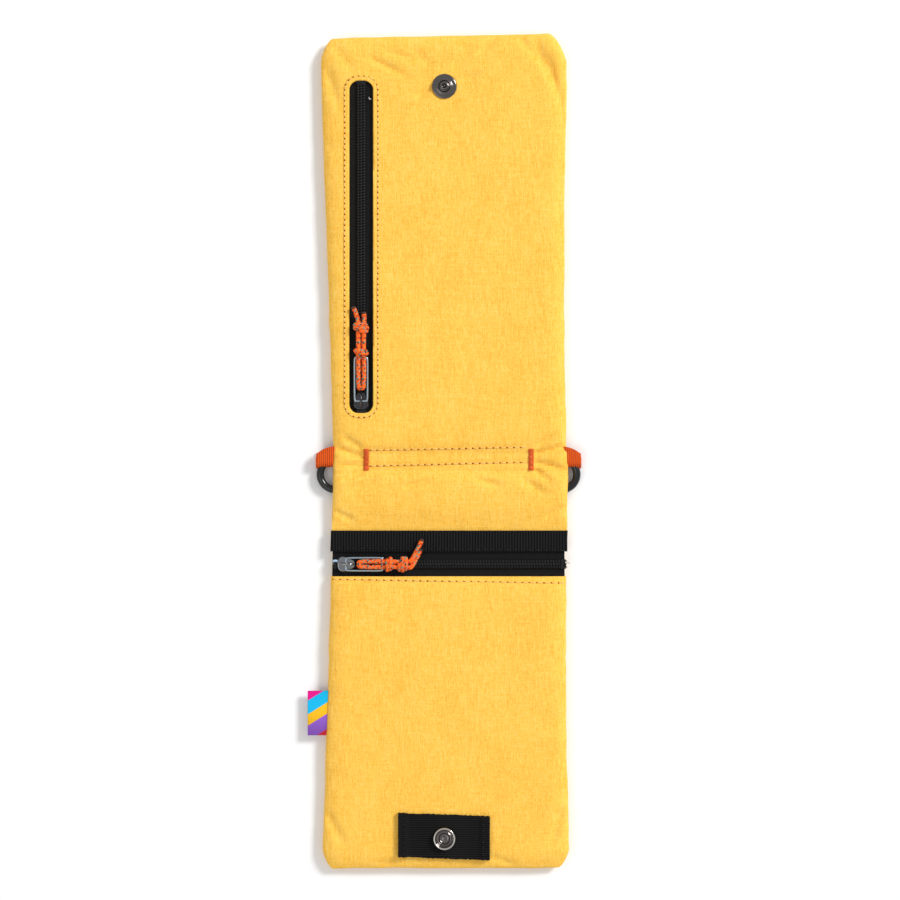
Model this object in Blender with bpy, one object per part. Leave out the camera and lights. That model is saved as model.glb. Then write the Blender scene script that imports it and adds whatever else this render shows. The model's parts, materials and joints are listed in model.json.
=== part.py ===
"""Fold-over zip pouch, lying open and flat with its inner side up.

Two padded pouches are joined by a narrow spine that folds along two creases. Each pouch has a zip with a
cord pull, the spine carries two strap rings in webbing loops, and a press stud holds the pouches closed.
Lengths are written in millimetres and turned into metres by MM. +Y points to the upper pouch, +Z is up.
"""

import math

import bmesh
import bpy
from mathutils import Matrix, Vector

MM = 0.001

# Overall size
HALF_LENGTH = 185.3
PAD_HEIGHT = 8.0
END_TAPER = 0.8
CORNER_RADIUS = 5.5
GAP = 0.3
CLOTH = 0.9

# The spine and its two creases
UPPER_CREASE_Y = 0.65
LOWER_CREASE_Y = -10.05
CREASE_Z = 4.65
FOLD_CLEARANCE = 2.7
UPPER_START = UPPER_CREASE_Y + FOLD_CLEARANCE
FLAP_START = LOWER_CREASE_Y - FOLD_CLEARANCE

# The pouch edges: the back cloth curls up to the seam and the front cloth comes down to it
BACK_SEAM_Z = 3.1
FRONT_SEAM_Z = 5.2
BACK_ROUNDING = 6.0
FRONT_ROUNDING = 10.0
PAD_INSET = 7.5

# Upper zip, along Y
UPPER_ZIP_X = -37.0
UPPER_SLOT_Y = (17.1, 165.0)
SLOT_WIDTH = 10.7
UPPER_TAPE_Z = 5.7
UPPER_SLIDER_Y = 22.5

# Lower zip, along X, under a grosgrain band
LOWER_ZIP_Y = -50.1
LOWER_TAPE_Z = 3.7
LOWER_SLIDER_X = -43.7
BAND_TOP_Y = -35.2
BAND_BOTTOM_Y = -44.6
FRONT_TOP_Y = -55.6

# Zip parts
TAPE_THICKNESS = 0.5
TAPE_HALF_WIDTH = 9.0
COIL_HALF_WIDTH = 2.0
COIL_HEIGHT = 1.15
SLIDER_HALF_WIDTH = 3.3
SLIDER_LENGTH = 7.4
SLIDER_PLATE = 0.8
COIL_SEAT = 0.15
STOP_SIZE = (1.3, 4.4)
STOP_HEIGHT = 1.2
UPPER_CHAIN_X = (UPPER_SLOT_Y[0] + 0.1, UPPER_SLOT_Y[1] - 0.1)
LOWER_CHAIN_X = (-49.3, 53.2)

# Cord pulls: distances from the slider's centre, and the height of the knot
WIRE_RADIUS = 0.4
WIRE_HALF_WIDTH = 2.85
CORD_RADIUS = 1.05
UPPER_PULL = (18.4, 23.4, 29.8, 35.4, 42.0, 9.95)
LOWER_PULL = (15.4, 21.2, 22.6, 28.2, 34.4, 7.9)

# Press stud and its socket, the same distance from the middle of the spine
SPINE_MIDDLE_Y = (UPPER_CREASE_Y + LOWER_CREASE_Y) / 2
SNAP_DISTANCE = 167.1
STUD_Y = SPINE_MIDDLE_Y + SNAP_DISTANCE
SOCKET_Y = SPINE_MIDDLE_Y - SNAP_DISTANCE
STUD_Z = 7.7
TAB_Z = 7.7
TAB_SIZE = (40.8, 19.8)
BACK_PLATE_RADIUS = 4.5
BACK_PLATE_Z = (5.6, 6.0)

# Strap rings and their webbing loops. The left ring sits further in under the cloth
RING_X = {"left": -48.6, "right": 52.3}
RING_Y = -10.15
RING_RADIUS = 6.8
RING_WIRE = 1.7
RING_Z = 2.9
LOOP_INSIDE = 2.0
LOOP_INNER_REACH = 6.8
LOOP_OUTER_REACH = 8.7
WEBBING = 0.8
BARTACK_X = {"left": -34.8, "right": 38.6}
STRIP_RISE = {"left": (36.5, 41.5), "right": (39.5, 44.5)}

COLOURS = {
    "shell_fabric": ((0.99, 0.60, 0.095), 0.85, 0.0),
    "lining_fabric": ((0.10, 0.20, 0.45), 0.8, 0.0),
    "foam": ((0.75, 0.75, 0.72), 0.95, 0.0),
    "black_webbing": ((0.012, 0.012, 0.013), 0.8, 0.0),
    "orange_webbing": ((0.85, 0.12, 0.01), 0.75, 0.0),
    "zip_tape": ((0.015, 0.015, 0.016), 0.8, 0.0),
    "zip_coil": ((0.01, 0.01, 0.011), 0.45, 0.0),
    "slider_metal": ((0.55, 0.55, 0.56), 0.22, 1.0),
    "pull_wire": ((0.45, 0.52, 0.58), 0.25, 1.0),
    "pull_cord": ((0.95, 0.18, 0.02), 0.8, 0.0),
    "snap_metal": ((0.16, 0.15, 0.15), 0.25, 1.0),
    "ring_plastic": ((0.006, 0.006, 0.007), 0.15, 0.0),
    "label_fabric": ((0.55, 0.25, 0.6), 0.7, 0.0),
    "thread": ((0.75, 0.14, 0.02), 0.7, 0.0),
}


def make_material(name):
    colour, roughness, metallic = COLOURS[name]
    material = bpy.data.materials.new(name)
    material.use_nodes = True
    shader = material.node_tree.nodes["Principled BSDF"]
    shader.inputs["Base Color"].default_value = (*colour, 1.0)
    shader.inputs["Roughness"].default_value = roughness
    shader.inputs["Metallic"].default_value = metallic
    return material


def place(obj, name, material, body):
    """Names the object, gives it its material and hangs it on its body's empty."""
    obj.name = name
    if not obj.data.materials:
        obj.data.materials.append(MATERIALS[material])
    obj.parent = body
    obj.matrix_parent_inverse = body.matrix_world.inverted()
    return obj


def object_from(mesh_builder, name, material, body):
    """Turns a bmesh in millimetres into a placed object."""
    bmesh.ops.scale(mesh_builder, vec=(MM, MM, MM), verts=mesh_builder.verts)
    bmesh.ops.recalc_face_normals(mesh_builder, faces=mesh_builder.faces)
    mesh = bpy.data.meshes.new(name)
    mesh_builder.to_mesh(mesh)
    mesh_builder.free()
    obj = bpy.data.objects.new(name, mesh)
    bpy.context.scene.collection.objects.link(obj)
    return place(obj, name, material, body)


def body_empty(name, place_mm):
    empty = bpy.data.objects.new(name, None)
    empty.location = Vector(place_mm) * MM
    bpy.context.scene.collection.objects.link(empty)
    bpy.context.view_layer.update()
    return empty


def spaced(low, high, count):
    """Values from low to high that lie closer together near both ends."""
    return [low + (high - low) * (0.5 - 0.5 * math.cos(math.pi * i / (count - 1))) for i in range(count)]


def smooth(value, low, high):
    t = min(max((value - low) / (high - low), 0.0), 1.0)
    return t * t * (3 - 2 * t)


def rounding(distance, radius):
    """0 on an edge, rising as a quarter circle to 1 at the given radius and beyond."""
    t = 1 - min(max(distance, 0.0) / radius, 1.0)
    return math.sqrt(1 - t * t)


def outline(y, inset=0.0):
    """Left and right edge of the bag at y. The ends have rounded corners."""
    far = abs(y) / HALF_LENGTH
    left = -50.0 - 4.7 * far**1.4
    right = 54.3 + (1.4 * far**2 if y < 0 else -0.2)
    into_corner = CORNER_RADIUS - (HALF_LENGTH - abs(y))
    if into_corner > 0:
        cut = CORNER_RADIUS - math.sqrt(max(CORNER_RADIUS**2 - into_corner**2, 0.0))
        left += cut
        right -= cut
    return left + inset, right - inset


def height(y):
    return PAD_HEIGHT - END_TAPER * (abs(y) / HALF_LENGTH) ** 2


def front_surface(x, y, near_y, near_rounding):
    """Top of a pouch's front cloth. near_y is its edge on the spine side."""
    left, right = outline(y)
    across = rounding(min(x - left, right - x), FRONT_ROUNDING)
    along = rounding(HALF_LENGTH - abs(y), FRONT_ROUNDING) * rounding(abs(y - near_y), near_rounding)
    return FRONT_SEAM_Z + (height(y) - FRONT_SEAM_Z) * across * along


def back_surface(x, y, near_y):
    """Underside of a pouch's back cloth."""
    left, right = outline(y)
    across = rounding(min(x - left, right - x), BACK_ROUNDING)
    along = rounding(HALF_LENGTH - abs(y), BACK_ROUNDING) * rounding(abs(y - near_y), BACK_ROUNDING)
    return BACK_SEAM_Z * (1 - across * along)


def layer(name, material, body, y_range, bottom, top, inset=0.0, rows=14, columns=12, x_range=None):
    """A closed sheet between two height functions of x and y, within the bag's outline."""
    builder = bmesh.new()
    grids = []
    for surface in (bottom, top):
        grid = []
        for y in spaced(*y_range, rows):
            left, right = x_range or outline(y, inset)
            grid.append([builder.verts.new((x, y, surface(x, y))) for x in spaced(left, right, columns)])
        grids.append(grid)
    for grid in grids:
        for row, following in zip(grid, grid[1:]):
            for i in range(columns - 1):
                builder.faces.new((row[i], row[i + 1], following[i + 1], following[i]))
    low, high = grids
    rim = [(0, i) for i in range(columns)] + [(j, columns - 1) for j in range(1, rows)]
    rim += [(rows - 1, i) for i in range(columns - 2, -1, -1)] + [(j, 0) for j in range(rows - 2, 0, -1)]
    for (a, b), (c, d) in zip(rim, rim[1:] + rim[:1]):
        builder.faces.new((low[a][b], low[c][d], high[c][d], high[a][b]))
    return object_from(builder, name, material, body)


def flat_layer(name, material, body, y_range, z_range, **options):
    return layer(name, material, body, y_range, lambda x, y: z_range[0], lambda x, y: z_range[1], **options)


def prism(name, material, body, points, low, high, frame=None):
    """A polygon in its own plane, extruded from low to high along the third axis and set in a frame."""
    builder = bmesh.new()
    bottom = [builder.verts.new((a, b, low)) for a, b in points]
    top = [builder.verts.new((a, b, high)) for a, b in points]
    builder.faces.new(bottom)
    builder.faces.new(top)
    for i in range(len(points)):
        j = (i + 1) % len(points)
        builder.faces.new((bottom[i], bottom[j], top[j], top[i]))
    if frame:
        bmesh.ops.transform(builder, matrix=frame, verts=builder.verts)
    return object_from(builder, name, material, body)


def arc(centre, radius, start, end, steps):
    """Points on an arc in a plane, from one angle to another in degrees."""
    angles = [math.radians(start + (end - start) * i / steps) for i in range(steps + 1)]
    return [(centre[0] + radius * math.cos(a), centre[1] + radius * math.sin(a)) for a in angles]


def rounded_box(centre, size, radius, steps=3):
    """Outline of a rectangle with rounded corners."""
    half_x, half_y = size[0] / 2 - radius, size[1] / 2 - radius
    points = []
    for sign_x, sign_y, start in ((1, 1, 0), (-1, 1, 90), (-1, -1, 180), (1, -1, 270)):
        corner = (centre[0] + sign_x * half_x, centre[1] + sign_y * half_y)
        points += arc(corner, radius, start, start + 90, steps)
    return points


def turned(name, material, body, profile, centre, steps=24):
    """A profile of (radius, height) points spun round a vertical axis."""
    builder = bmesh.new()
    rings = []
    for radius, z in profile:
        if radius == 0:
            rings.append([builder.verts.new((centre[0], centre[1], z))])
        else:
            rings.append([builder.verts.new((*point, z)) for point in arc(centre, radius, 0, 360, steps)[:-1]])
    for lower, upper in zip(rings, rings[1:]):
        for i in range(steps):
            j = (i + 1) % steps
            corners = [lower[i % len(lower)], lower[j % len(lower)], upper[j % len(upper)], upper[i % len(upper)]]
            builder.faces.new(list(dict.fromkeys(corners)))
    return object_from(builder, name, material, body)


def tube(name, material, body, points, radius, closed=False, frame=None):
    """A round tube along points in millimetres, with filled ends."""
    curve = bpy.data.curves.new(name, "CURVE")
    curve.dimensions = "3D"
    curve.bevel_depth = radius * MM
    curve.bevel_resolution = 2
    curve.use_fill_caps = True
    spline = curve.splines.new("POLY")
    spline.points.add(len(points) - 1)
    for target, point in zip(spline.points, points):
        where = (frame or Matrix()) @ Vector(point)
        target.co = (*(where * MM), 1.0)
    spline.use_cyclic_u = closed
    obj = bpy.data.objects.new(name, curve)
    bpy.context.scene.collection.objects.link(obj)
    return place(obj, name, material, body)


def cut(obj, cutter):
    """Cuts one object out of another; the cutter stays as a hidden helper."""
    cutter.hide_render = True
    cutter.display_type = "WIRE"
    modifier = obj.modifiers.new("cut_" + cutter.name, "BOOLEAN")
    modifier.operation = "DIFFERENCE"
    modifier.object = cutter


def upper_pouch(body):
    inside = lambda x, y: back_surface(x, y, UPPER_START) + CLOTH
    front = lambda x, y: front_surface(x, y, UPPER_START, FRONT_ROUNDING)
    span = (UPPER_START, HALF_LENGTH)
    layer("upper_back_shell", "shell_fabric", body, span, lambda x, y: inside(x, y) - CLOTH, inside)
    short = (UPPER_START + PAD_INSET, HALF_LENGTH - PAD_INSET)
    flat_layer("upper_padding", "foam", body, short, (1.3, 3.4), inset=PAD_INSET, rows=6, columns=4)
    flat_layer("upper_pocket_lining", "lining_fabric", body, short, (3.7, 4.2), inset=PAD_INSET, rows=6, columns=4)
    shell = layer("upper_front_shell", "shell_fabric", body, span, lambda x, y: front(x, y) - CLOTH, front, rows=18)
    slot_middle = sum(UPPER_SLOT_Y) / 2
    slot_length = UPPER_SLOT_Y[1] - UPPER_SLOT_Y[0]
    slot = rounded_box((UPPER_ZIP_X, slot_middle), (SLOT_WIDTH, slot_length), 4.0)
    cut(shell, prism("upper_slot_cutter", "zip_tape", body, slot, 4.6, 12.0))
    tape_y = (UPPER_SLOT_Y[0] - 3, UPPER_SLOT_Y[1] + 3)
    for side, sign in (("left", -1), ("right", 1)):
        reach = sorted((UPPER_ZIP_X + sign * 0.15, UPPER_ZIP_X + sign * TAPE_HALF_WIDTH))
        heights = (UPPER_TAPE_Z, UPPER_TAPE_Z + TAPE_THICKNESS)
        flat_layer(f"upper_zip_tape_{side}", "zip_tape", body, tape_y, heights, x_range=reach, rows=2, columns=2)
    frame = Matrix.Translation((UPPER_ZIP_X, 0, 0)) @ Matrix.Rotation(math.pi / 2, 4, "Z")
    zip_chain("upper", body, frame, UPPER_CHAIN_X, UPPER_TAPE_Z)
    stud_profile = [(0, STUD_Z), (5.5, STUD_Z), (5.5, STUD_Z + 0.35), (4.6, STUD_Z + 0.5), (3.4, STUD_Z + 0.6)]
    stud_profile += [(3.2, STUD_Z + 0.9), (2.6, STUD_Z + 0.9), (2.3, STUD_Z + 0.6), (1.75, STUD_Z + 0.7)]
    stud_profile += [(1.55, STUD_Z + 1.5), (1.85, STUD_Z + 2.2), (1.6, STUD_Z + 2.7), (1.0, STUD_Z + 2.8)]
    stud_profile += [(0.9, STUD_Z + 1.2), (0, STUD_Z + 1.2)]
    turned("snap_stud", "snap_metal", body, stud_profile, (0, STUD_Y))
    back_plate("snap_stud_back_plate", body, STUD_Y)


def back_plate(name, body, y):
    """Disc inside the pouch that a snap is riveted through to."""
    low, high = BACK_PLATE_Z
    profile = [(0, low), (BACK_PLATE_RADIUS, low), (BACK_PLATE_RADIUS, high), (0, high)]
    turned(name, "snap_metal", body, profile, (0, y), steps=16)


def flap_top(y):
    """Top of the flap panel: level near the spine, then down behind the zip band."""
    return 6.0 - 1.45 * smooth(-y, 24.0, 35.0)


def lower_pouch(body):
    span = (-HALF_LENGTH, FLAP_START)
    inside = lambda x, y: back_surface(x, y, FLAP_START) + CLOTH
    front = lambda x, y: front_surface(x, y, FRONT_TOP_Y, FRONT_ROUNDING)
    back = layer("lower_back_shell", "shell_fabric", body, span, lambda x, y: inside(x, y) - CLOTH, inside, rows=18)
    pad_y = (PAD_INSET - HALF_LENGTH, FLAP_START - PAD_INSET)
    padding = flat_layer("lower_padding", "foam", body, pad_y, (1.3, 1.8), inset=PAD_INSET, rows=8, columns=4)
    for side, edges in (("left", (-62, -37.5)), ("right", (40.5, 62))):
        middle = sum(edges) / 2
        box = rounded_box((middle, -14.5), (edges[1] - edges[0], 13.0), 1.0, steps=1)
        cutter = prism(f"ring_room_{side}", "foam", body, box, -1.0, 8.0)
        cut(back, cutter)
        cut(padding, cutter)
    layer("flap_panel", "shell_fabric", body, (-37.3, FLAP_START), lambda x, y: flap_top(y) - 0.7,
          lambda x, y: flap_top(y), inset=0.6, rows=10, columns=6)
    flat_layer("slip_pocket_wall", "shell_fabric", body, (-64.0, -37.7), (2.0, 2.4), inset=6, rows=2, columns=2)
    flat_layer("slip_pocket_lining", "lining_fabric", body, (-62.0, -38.5), (2.55, 2.75), inset=5.0, rows=2, columns=2)
    pocket_y = (PAD_INSET - HALF_LENGTH, -68.0)
    flat_layer("lower_pocket_padding", "foam", body, pocket_y, (2.1, 4.3), inset=PAD_INSET, rows=4, columns=4)
    flat_layer("lower_pocket_lining", "lining_fabric", body, pocket_y, (4.6, 5.1), inset=PAD_INSET, rows=4, columns=4)
    layer("lower_front_shell", "shell_fabric", body, (-HALF_LENGTH, FRONT_TOP_Y),
          lambda x, y: front(x, y) - CLOTH, front, rows=18)
    flat_layer("grosgrain_band", "black_webbing", body, (BAND_BOTTOM_Y, BAND_TOP_Y), (4.9, 5.6), rows=2, columns=2)
    heights = (LOWER_TAPE_Z, LOWER_TAPE_Z + TAPE_THICKNESS)
    tape_edges = (("upper", LOWER_ZIP_Y + 0.15, LOWER_ZIP_Y + TAPE_HALF_WIDTH),
                  ("lower", LOWER_ZIP_Y - TAPE_HALF_WIDTH, LOWER_ZIP_Y - 0.15))
    for side, low, high in tape_edges:
        flat_layer(f"lower_zip_tape_{side}", "zip_tape", body, (low, high), heights, inset=0.8, rows=2, columns=2)
    frame = Matrix.Translation((0, LOWER_ZIP_Y, 0))
    zip_chain("lower", body, frame, LOWER_CHAIN_X, LOWER_TAPE_Z)
    snap_tab(body)
    label = rounded_box((-57.0, -116.5), (8.2, 19.8), 0.4, steps=1)
    prism("side_label", "label_fabric", body, label, 3.9, 4.5)


def snap_tab(body):
    """Webbing tab with its ends folded under, carrying the socket."""
    tab = rounded_box((-0.2, SOCKET_Y + 0.7), TAB_SIZE, 0.4, steps=1)
    prism("snap_tab", "black_webbing", body, tab, TAB_Z, TAB_Z + CLOTH)
    base = TAB_Z + 1.2
    socket = [(0, base), (4.9, base), (5.0, base + 0.3), (5.0, base + 1.9), (4.6, base + 2.3), (4.0, base + 2.4)]
    socket += [(3.2, base + 2.1), (2.6, base + 2.0), (2.45, base + 1.7), (2.45, base + 0.25), (0, base + 0.25)]
    turned("snap_socket", "snap_metal", body, socket, (0, SOCKET_Y))
    back_plate("snap_socket_back_plate", body, SOCKET_Y)


def zip_chain(prefix, body, frame, reach, tape_z):
    """Coil and the two end stops, along the frame's X axis."""
    base = tape_z + TAPE_THICKNESS + COIL_SEAT
    half = COIL_HALF_WIDTH
    section = [(-half, base), (half, base), (half, base + 0.7), (half - 0.6, base + COIL_HEIGHT)]
    section += [(0.6 - half, base + COIL_HEIGHT), (-half, base + 0.7)]
    along = frame @ Matrix.Rotation(math.pi / 2, 4, "Z") @ Matrix.Rotation(math.pi / 2, 4, "X")
    prism(f"{prefix}_zip_coil", "zip_coil", body, section, reach[0] + 2.2, reach[1] - 2.2, along)
    for end, centre in (("start", reach[0] + STOP_SIZE[0] / 2), ("end", reach[1] - STOP_SIZE[0] / 2)):
        stop = rounded_box((centre, 0), STOP_SIZE, 0.4, steps=1)
        prism(f"{prefix}_zip_{end}_stop", "slider_metal", body, stop, base, base + STOP_HEIGHT, frame)


def zip_slider(prefix, body, frame, tape_z):
    """Slider: a channel over the coil, a bridge for the pull and a blade under the tapes."""
    top_of_tape = tape_z + TAPE_THICKNESS
    plate = top_of_tape + COIL_SEAT + COIL_HEIGHT + GAP
    wide, inner = SLIDER_HALF_WIDTH, COIL_HALF_WIDTH + GAP
    section = [(-wide, top_of_tape + GAP), (-inner, top_of_tape + GAP), (-inner, plate), (inner, plate)]
    section += [(inner, top_of_tape + GAP), (wide, top_of_tape + GAP), (wide, plate + 0.5)]
    section += [(wide - 0.4, plate + SLIDER_PLATE), (0.4 - wide, plate + SLIDER_PLATE), (-wide, plate + 0.5)]
    along = frame @ Matrix.Rotation(math.pi / 2, 4, "Z") @ Matrix.Rotation(math.pi / 2, 4, "X")
    half = SLIDER_LENGTH / 2
    prism(f"{prefix}_slider_body", "slider_metal", body, section, -half, half, along)
    foot = plate + SLIDER_PLATE + 0.02
    arch = [(-2.9, foot), (-2.1, foot), (-1.7, foot + 1.15), (2.0, foot + 1.15), (2.4, foot), (3.2, foot)]
    arch += [(2.7, foot + 1.75), (-2.3, foot + 1.75)]
    across = frame @ Matrix.Rotation(math.pi / 2, 4, "X")
    prism(f"{prefix}_slider_bridge", "slider_metal", body, arch, -0.9, 0.9, across)
    blade = rounded_box((0, 0), (SLIDER_LENGTH, 2 * wide), 1.2, steps=2)
    prism(f"{prefix}_slider_blade", "slider_metal", body, blade, tape_z - GAP - 0.4, tape_z - GAP, frame)


def ellipsoid(name, material, body, centre, size, frame):
    builder = bmesh.new()
    bmesh.ops.create_icosphere(builder, subdivisions=2, radius=0.5)
    bmesh.ops.scale(builder, vec=size, verts=builder.verts)
    bmesh.ops.translate(builder, vec=centre, verts=builder.verts)
    bmesh.ops.transform(builder, matrix=frame, verts=builder.verts)
    return object_from(builder, name, material, body)


def zip_pull(prefix, body, frame, axis_z, lengths):
    """Wire loop, cord strands, wrap, knot and tails, lying along the frame's X axis from its origin."""
    strand_end, wrap_end, knot_start, knot_end, tail_end, knot_z = lengths
    wire_end = strand_end + 0.8
    wrap_start = wire_end + 0.8
    half = WIRE_HALF_WIDTH
    loop = [(0, -half + 0.8), (0, 0), (0, half - 0.8), (0.8, half)]
    loop += [(wire_end - 0.8, half), (wire_end, half - 0.8), (wire_end, 0), (wire_end, 0.8 - half)]
    loop += [(wire_end - 0.8, -half), (0.8, -half)]
    tube(f"{prefix}_pull_wire", "pull_wire", body, [(a, b, axis_z) for a, b in loop], WIRE_RADIUS, True, frame)
    strand = [(strand_end, -1.15), (7.0, -1.15), (5.9, -0.8), (5.5, 0), (5.9, 0.8), (7.0, 1.15), (strand_end, 1.15)]
    tube(f"{prefix}_pull_cord", "pull_cord", body, [(a, b, axis_z) for a, b in strand], CORD_RADIUS, False, frame)
    wrap = ((wrap_start + wrap_end) / 2, 0, knot_z)
    ellipsoid(f"{prefix}_pull_wrap", "pull_cord", body, wrap, (wrap_end - wrap_start, 7.0, 3.2), frame)
    neck = [(wrap_end + 0.35, 0, knot_z), (knot_start - 0.35, 0, knot_z)]
    if knot_start - wrap_end > 2.5:
        tube(f"{prefix}_pull_neck", "pull_cord", body, neck, 1.4, False, frame)
    knot = ((knot_start + knot_end) / 2, 0, knot_z)
    ellipsoid(f"{prefix}_pull_knot", "pull_cord", body, knot, (knot_end - knot_start, 7.6, 3.3), frame)
    tail = [(tail_end, -2.2, knot_z), (knot_end + 1.8, -1.0, knot_z), (knot_end + 1.45, 0, knot_z)]
    tail += [(knot_end + 1.8, 1.0, knot_z), (tail_end - 1.5, 2.4, knot_z)]
    tube(f"{prefix}_pull_tails", "pull_cord", body, tail, CORD_RADIUS, False, frame)


def spine(body):
    ends = (LOWER_CREASE_Y + GAP, UPPER_CREASE_Y - GAP)
    front_top = lambda x, y: 5.2 + 1.6 * smooth(abs(x), *STRIP_RISE["left" if x < 0 else "right"])
    layer("spine_front_strip", "shell_fabric", body, ends, lambda x, y: front_top(x, y) - 0.8, front_top,
          rows=2, columns=22)
    flat_layer("spine_padding", "foam", body, ends, (2.5, 4.1), x_range=(-35.0, 35.0), rows=2, columns=2)
    flat_layer("spine_back_strip", "shell_fabric", body, ends, (1.3, 2.2), x_range=(-35.5, 35.5), rows=2, columns=2)
    flat_layer("spine_webbing", "orange_webbing", body, (-6.6, UPPER_CREASE_Y - GAP), (0.1, 1.0), x_range=(-34.5, 34.5),
               rows=2, columns=2)
    for side, sign in (("left", -1), ("right", 1)):
        webbing_loop(side, sign, body)
        bartack = rounded_box((BARTACK_X[side], -3.6), (1.8, 7.6), 0.3, steps=1)
        prism(f"bartack_{side}", "thread", body, bartack, 5.5, 5.9)


def webbing_loop(side, sign, body):
    """Webbing that turns round the ring's upper bar, with its visible flap over the ring."""
    centre = (RING_Y + RING_RADIUS, RING_Z)
    inner, outer = LOOP_INSIDE, LOOP_INSIDE + WEBBING
    end = 2.9
    section = [(end, RING_Z + inner), (end, RING_Z + outer)] + arc(centre, outer, 90, 270, 8)
    section += [(end, RING_Z - outer), (end, RING_Z - inner)] + arc(centre, inner, 270, 90, 8)
    frame = Matrix(((0, 0, sign, 0), (1, 0, 0, 0), (0, 1, 0, 0), (0, 0, 0, 1)))
    ring_x = abs(RING_X[side])
    reach = (ring_x - LOOP_INNER_REACH, ring_x + LOOP_OUTER_REACH)
    loop = prism(f"webbing_loop_{side}", "orange_webbing", body, section, *reach, frame)
    for name, low, high in (("outer", ring_x + 1.6, ring_x + 10.7), ("inner", ring_x - 8.3, ring_x - 1.6)):
        room = rounded_box((sign * (low + high) / 2, -3.6), (high - low, 14.0), 0.2, steps=1)
        cut(loop, prism(f"loop_{name}_room_{side}", "thread", body, room, -1.0, RING_Z + inner - 0.05))


def strap_ring(side, body):
    points = [(x, y, RING_Z) for x, y in arc((RING_X[side], RING_Y), RING_RADIUS, 0, 360, 28)[:-1]]
    tube(f"strap_ring_{side}", "ring_plastic", body, points, RING_WIRE, closed=True)


def clear_scene():
    for obj in list(bpy.data.objects):
        bpy.data.objects.remove(obj)


def build():
    upper = body_empty("upper_pouch_body", (0, 0, 0))
    band = body_empty("spine_body", (0, UPPER_CREASE_Y, CREASE_Z))
    lower = body_empty("lower_pouch_body", (0, LOWER_CREASE_Y, CREASE_Z))
    upper_pouch(upper)
    spine(band)
    lower_pouch(lower)
    for side, ring_x in RING_X.items():
        ring_body = body_empty(f"ring_body_{side}", (ring_x, RING_Y + RING_RADIUS, RING_Z))
        strap_ring(side, ring_body)
    slider_height = TAPE_THICKNESS + COIL_SEAT + COIL_HEIGHT + GAP + SLIDER_PLATE
    upper_frame = Matrix.Translation((UPPER_ZIP_X, UPPER_SLIDER_Y, 0)) @ Matrix.Rotation(math.pi / 2, 4, "Z")
    lower_frame = Matrix.Translation((LOWER_SLIDER_X, LOWER_ZIP_Y, 0))
    settings = (
        ("upper", upper_frame, UPPER_TAPE_Z, UPPER_PULL),
        ("lower", lower_frame, LOWER_TAPE_Z, LOWER_PULL),
    )
    for prefix, frame, tape_z, lengths in settings:
        slider = body_empty(f"{prefix}_slider_mover", frame.translation)
        zip_slider(prefix, slider, frame, tape_z)
        axis_z = tape_z + slider_height + 0.55
        pull = body_empty(f"{prefix}_pull_mover", frame @ Vector((0, 0, axis_z)))
        zip_pull(prefix, pull, frame, axis_z, lengths)


clear_scene()
MATERIALS = {name: make_material(name) for name in COLOURS}
build()
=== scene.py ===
"""Looks of a fold-over zip pouch that lies open and flat with its inner side up.

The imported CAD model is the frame. Cloth, thread, zips, cords and metal are built here round its solids.
Lengths are written in millimetres and turned into metres by MM. +Y points to the upper pouch, +Z is up.
"""

import json
import math

import bmesh
import bpy
import numpy as np
from mathutils import Matrix, Vector, noise
from mathutils.bvhtree import BVHTree


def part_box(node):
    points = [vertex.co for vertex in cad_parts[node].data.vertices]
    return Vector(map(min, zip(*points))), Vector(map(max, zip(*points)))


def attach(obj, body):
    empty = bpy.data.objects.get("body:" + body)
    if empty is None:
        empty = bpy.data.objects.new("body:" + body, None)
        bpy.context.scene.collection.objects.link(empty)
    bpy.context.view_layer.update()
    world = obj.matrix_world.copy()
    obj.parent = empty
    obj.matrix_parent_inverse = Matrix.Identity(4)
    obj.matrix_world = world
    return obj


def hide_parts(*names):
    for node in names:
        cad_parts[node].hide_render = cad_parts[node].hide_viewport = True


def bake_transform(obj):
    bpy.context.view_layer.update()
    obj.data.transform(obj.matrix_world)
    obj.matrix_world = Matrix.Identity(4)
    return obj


MM = 0.001
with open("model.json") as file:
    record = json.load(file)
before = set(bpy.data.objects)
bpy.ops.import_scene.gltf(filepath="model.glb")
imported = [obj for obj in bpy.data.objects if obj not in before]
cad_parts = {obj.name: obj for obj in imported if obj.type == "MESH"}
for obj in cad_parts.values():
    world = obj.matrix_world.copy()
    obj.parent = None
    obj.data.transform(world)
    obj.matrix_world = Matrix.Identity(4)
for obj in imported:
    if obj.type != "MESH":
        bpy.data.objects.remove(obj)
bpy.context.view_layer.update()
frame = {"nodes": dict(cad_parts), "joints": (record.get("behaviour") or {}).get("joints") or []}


def node_box(name):
    """Lowest and highest corner of a CAD node, in millimetres."""
    low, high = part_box(name)
    return [value / MM for value in low], [value / MM for value in high]


def node_centre(name):
    low, high = node_box(name)
    return [(a + b) / 2 for a, b in zip(low, high)]


def joint_place(name):
    """Where a CAD hinge lies, in millimetres."""
    joint = next(j for j in frame["joints"] if j["name"] == name)
    return [value / MM for value in joint["pos_m"]]


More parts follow.
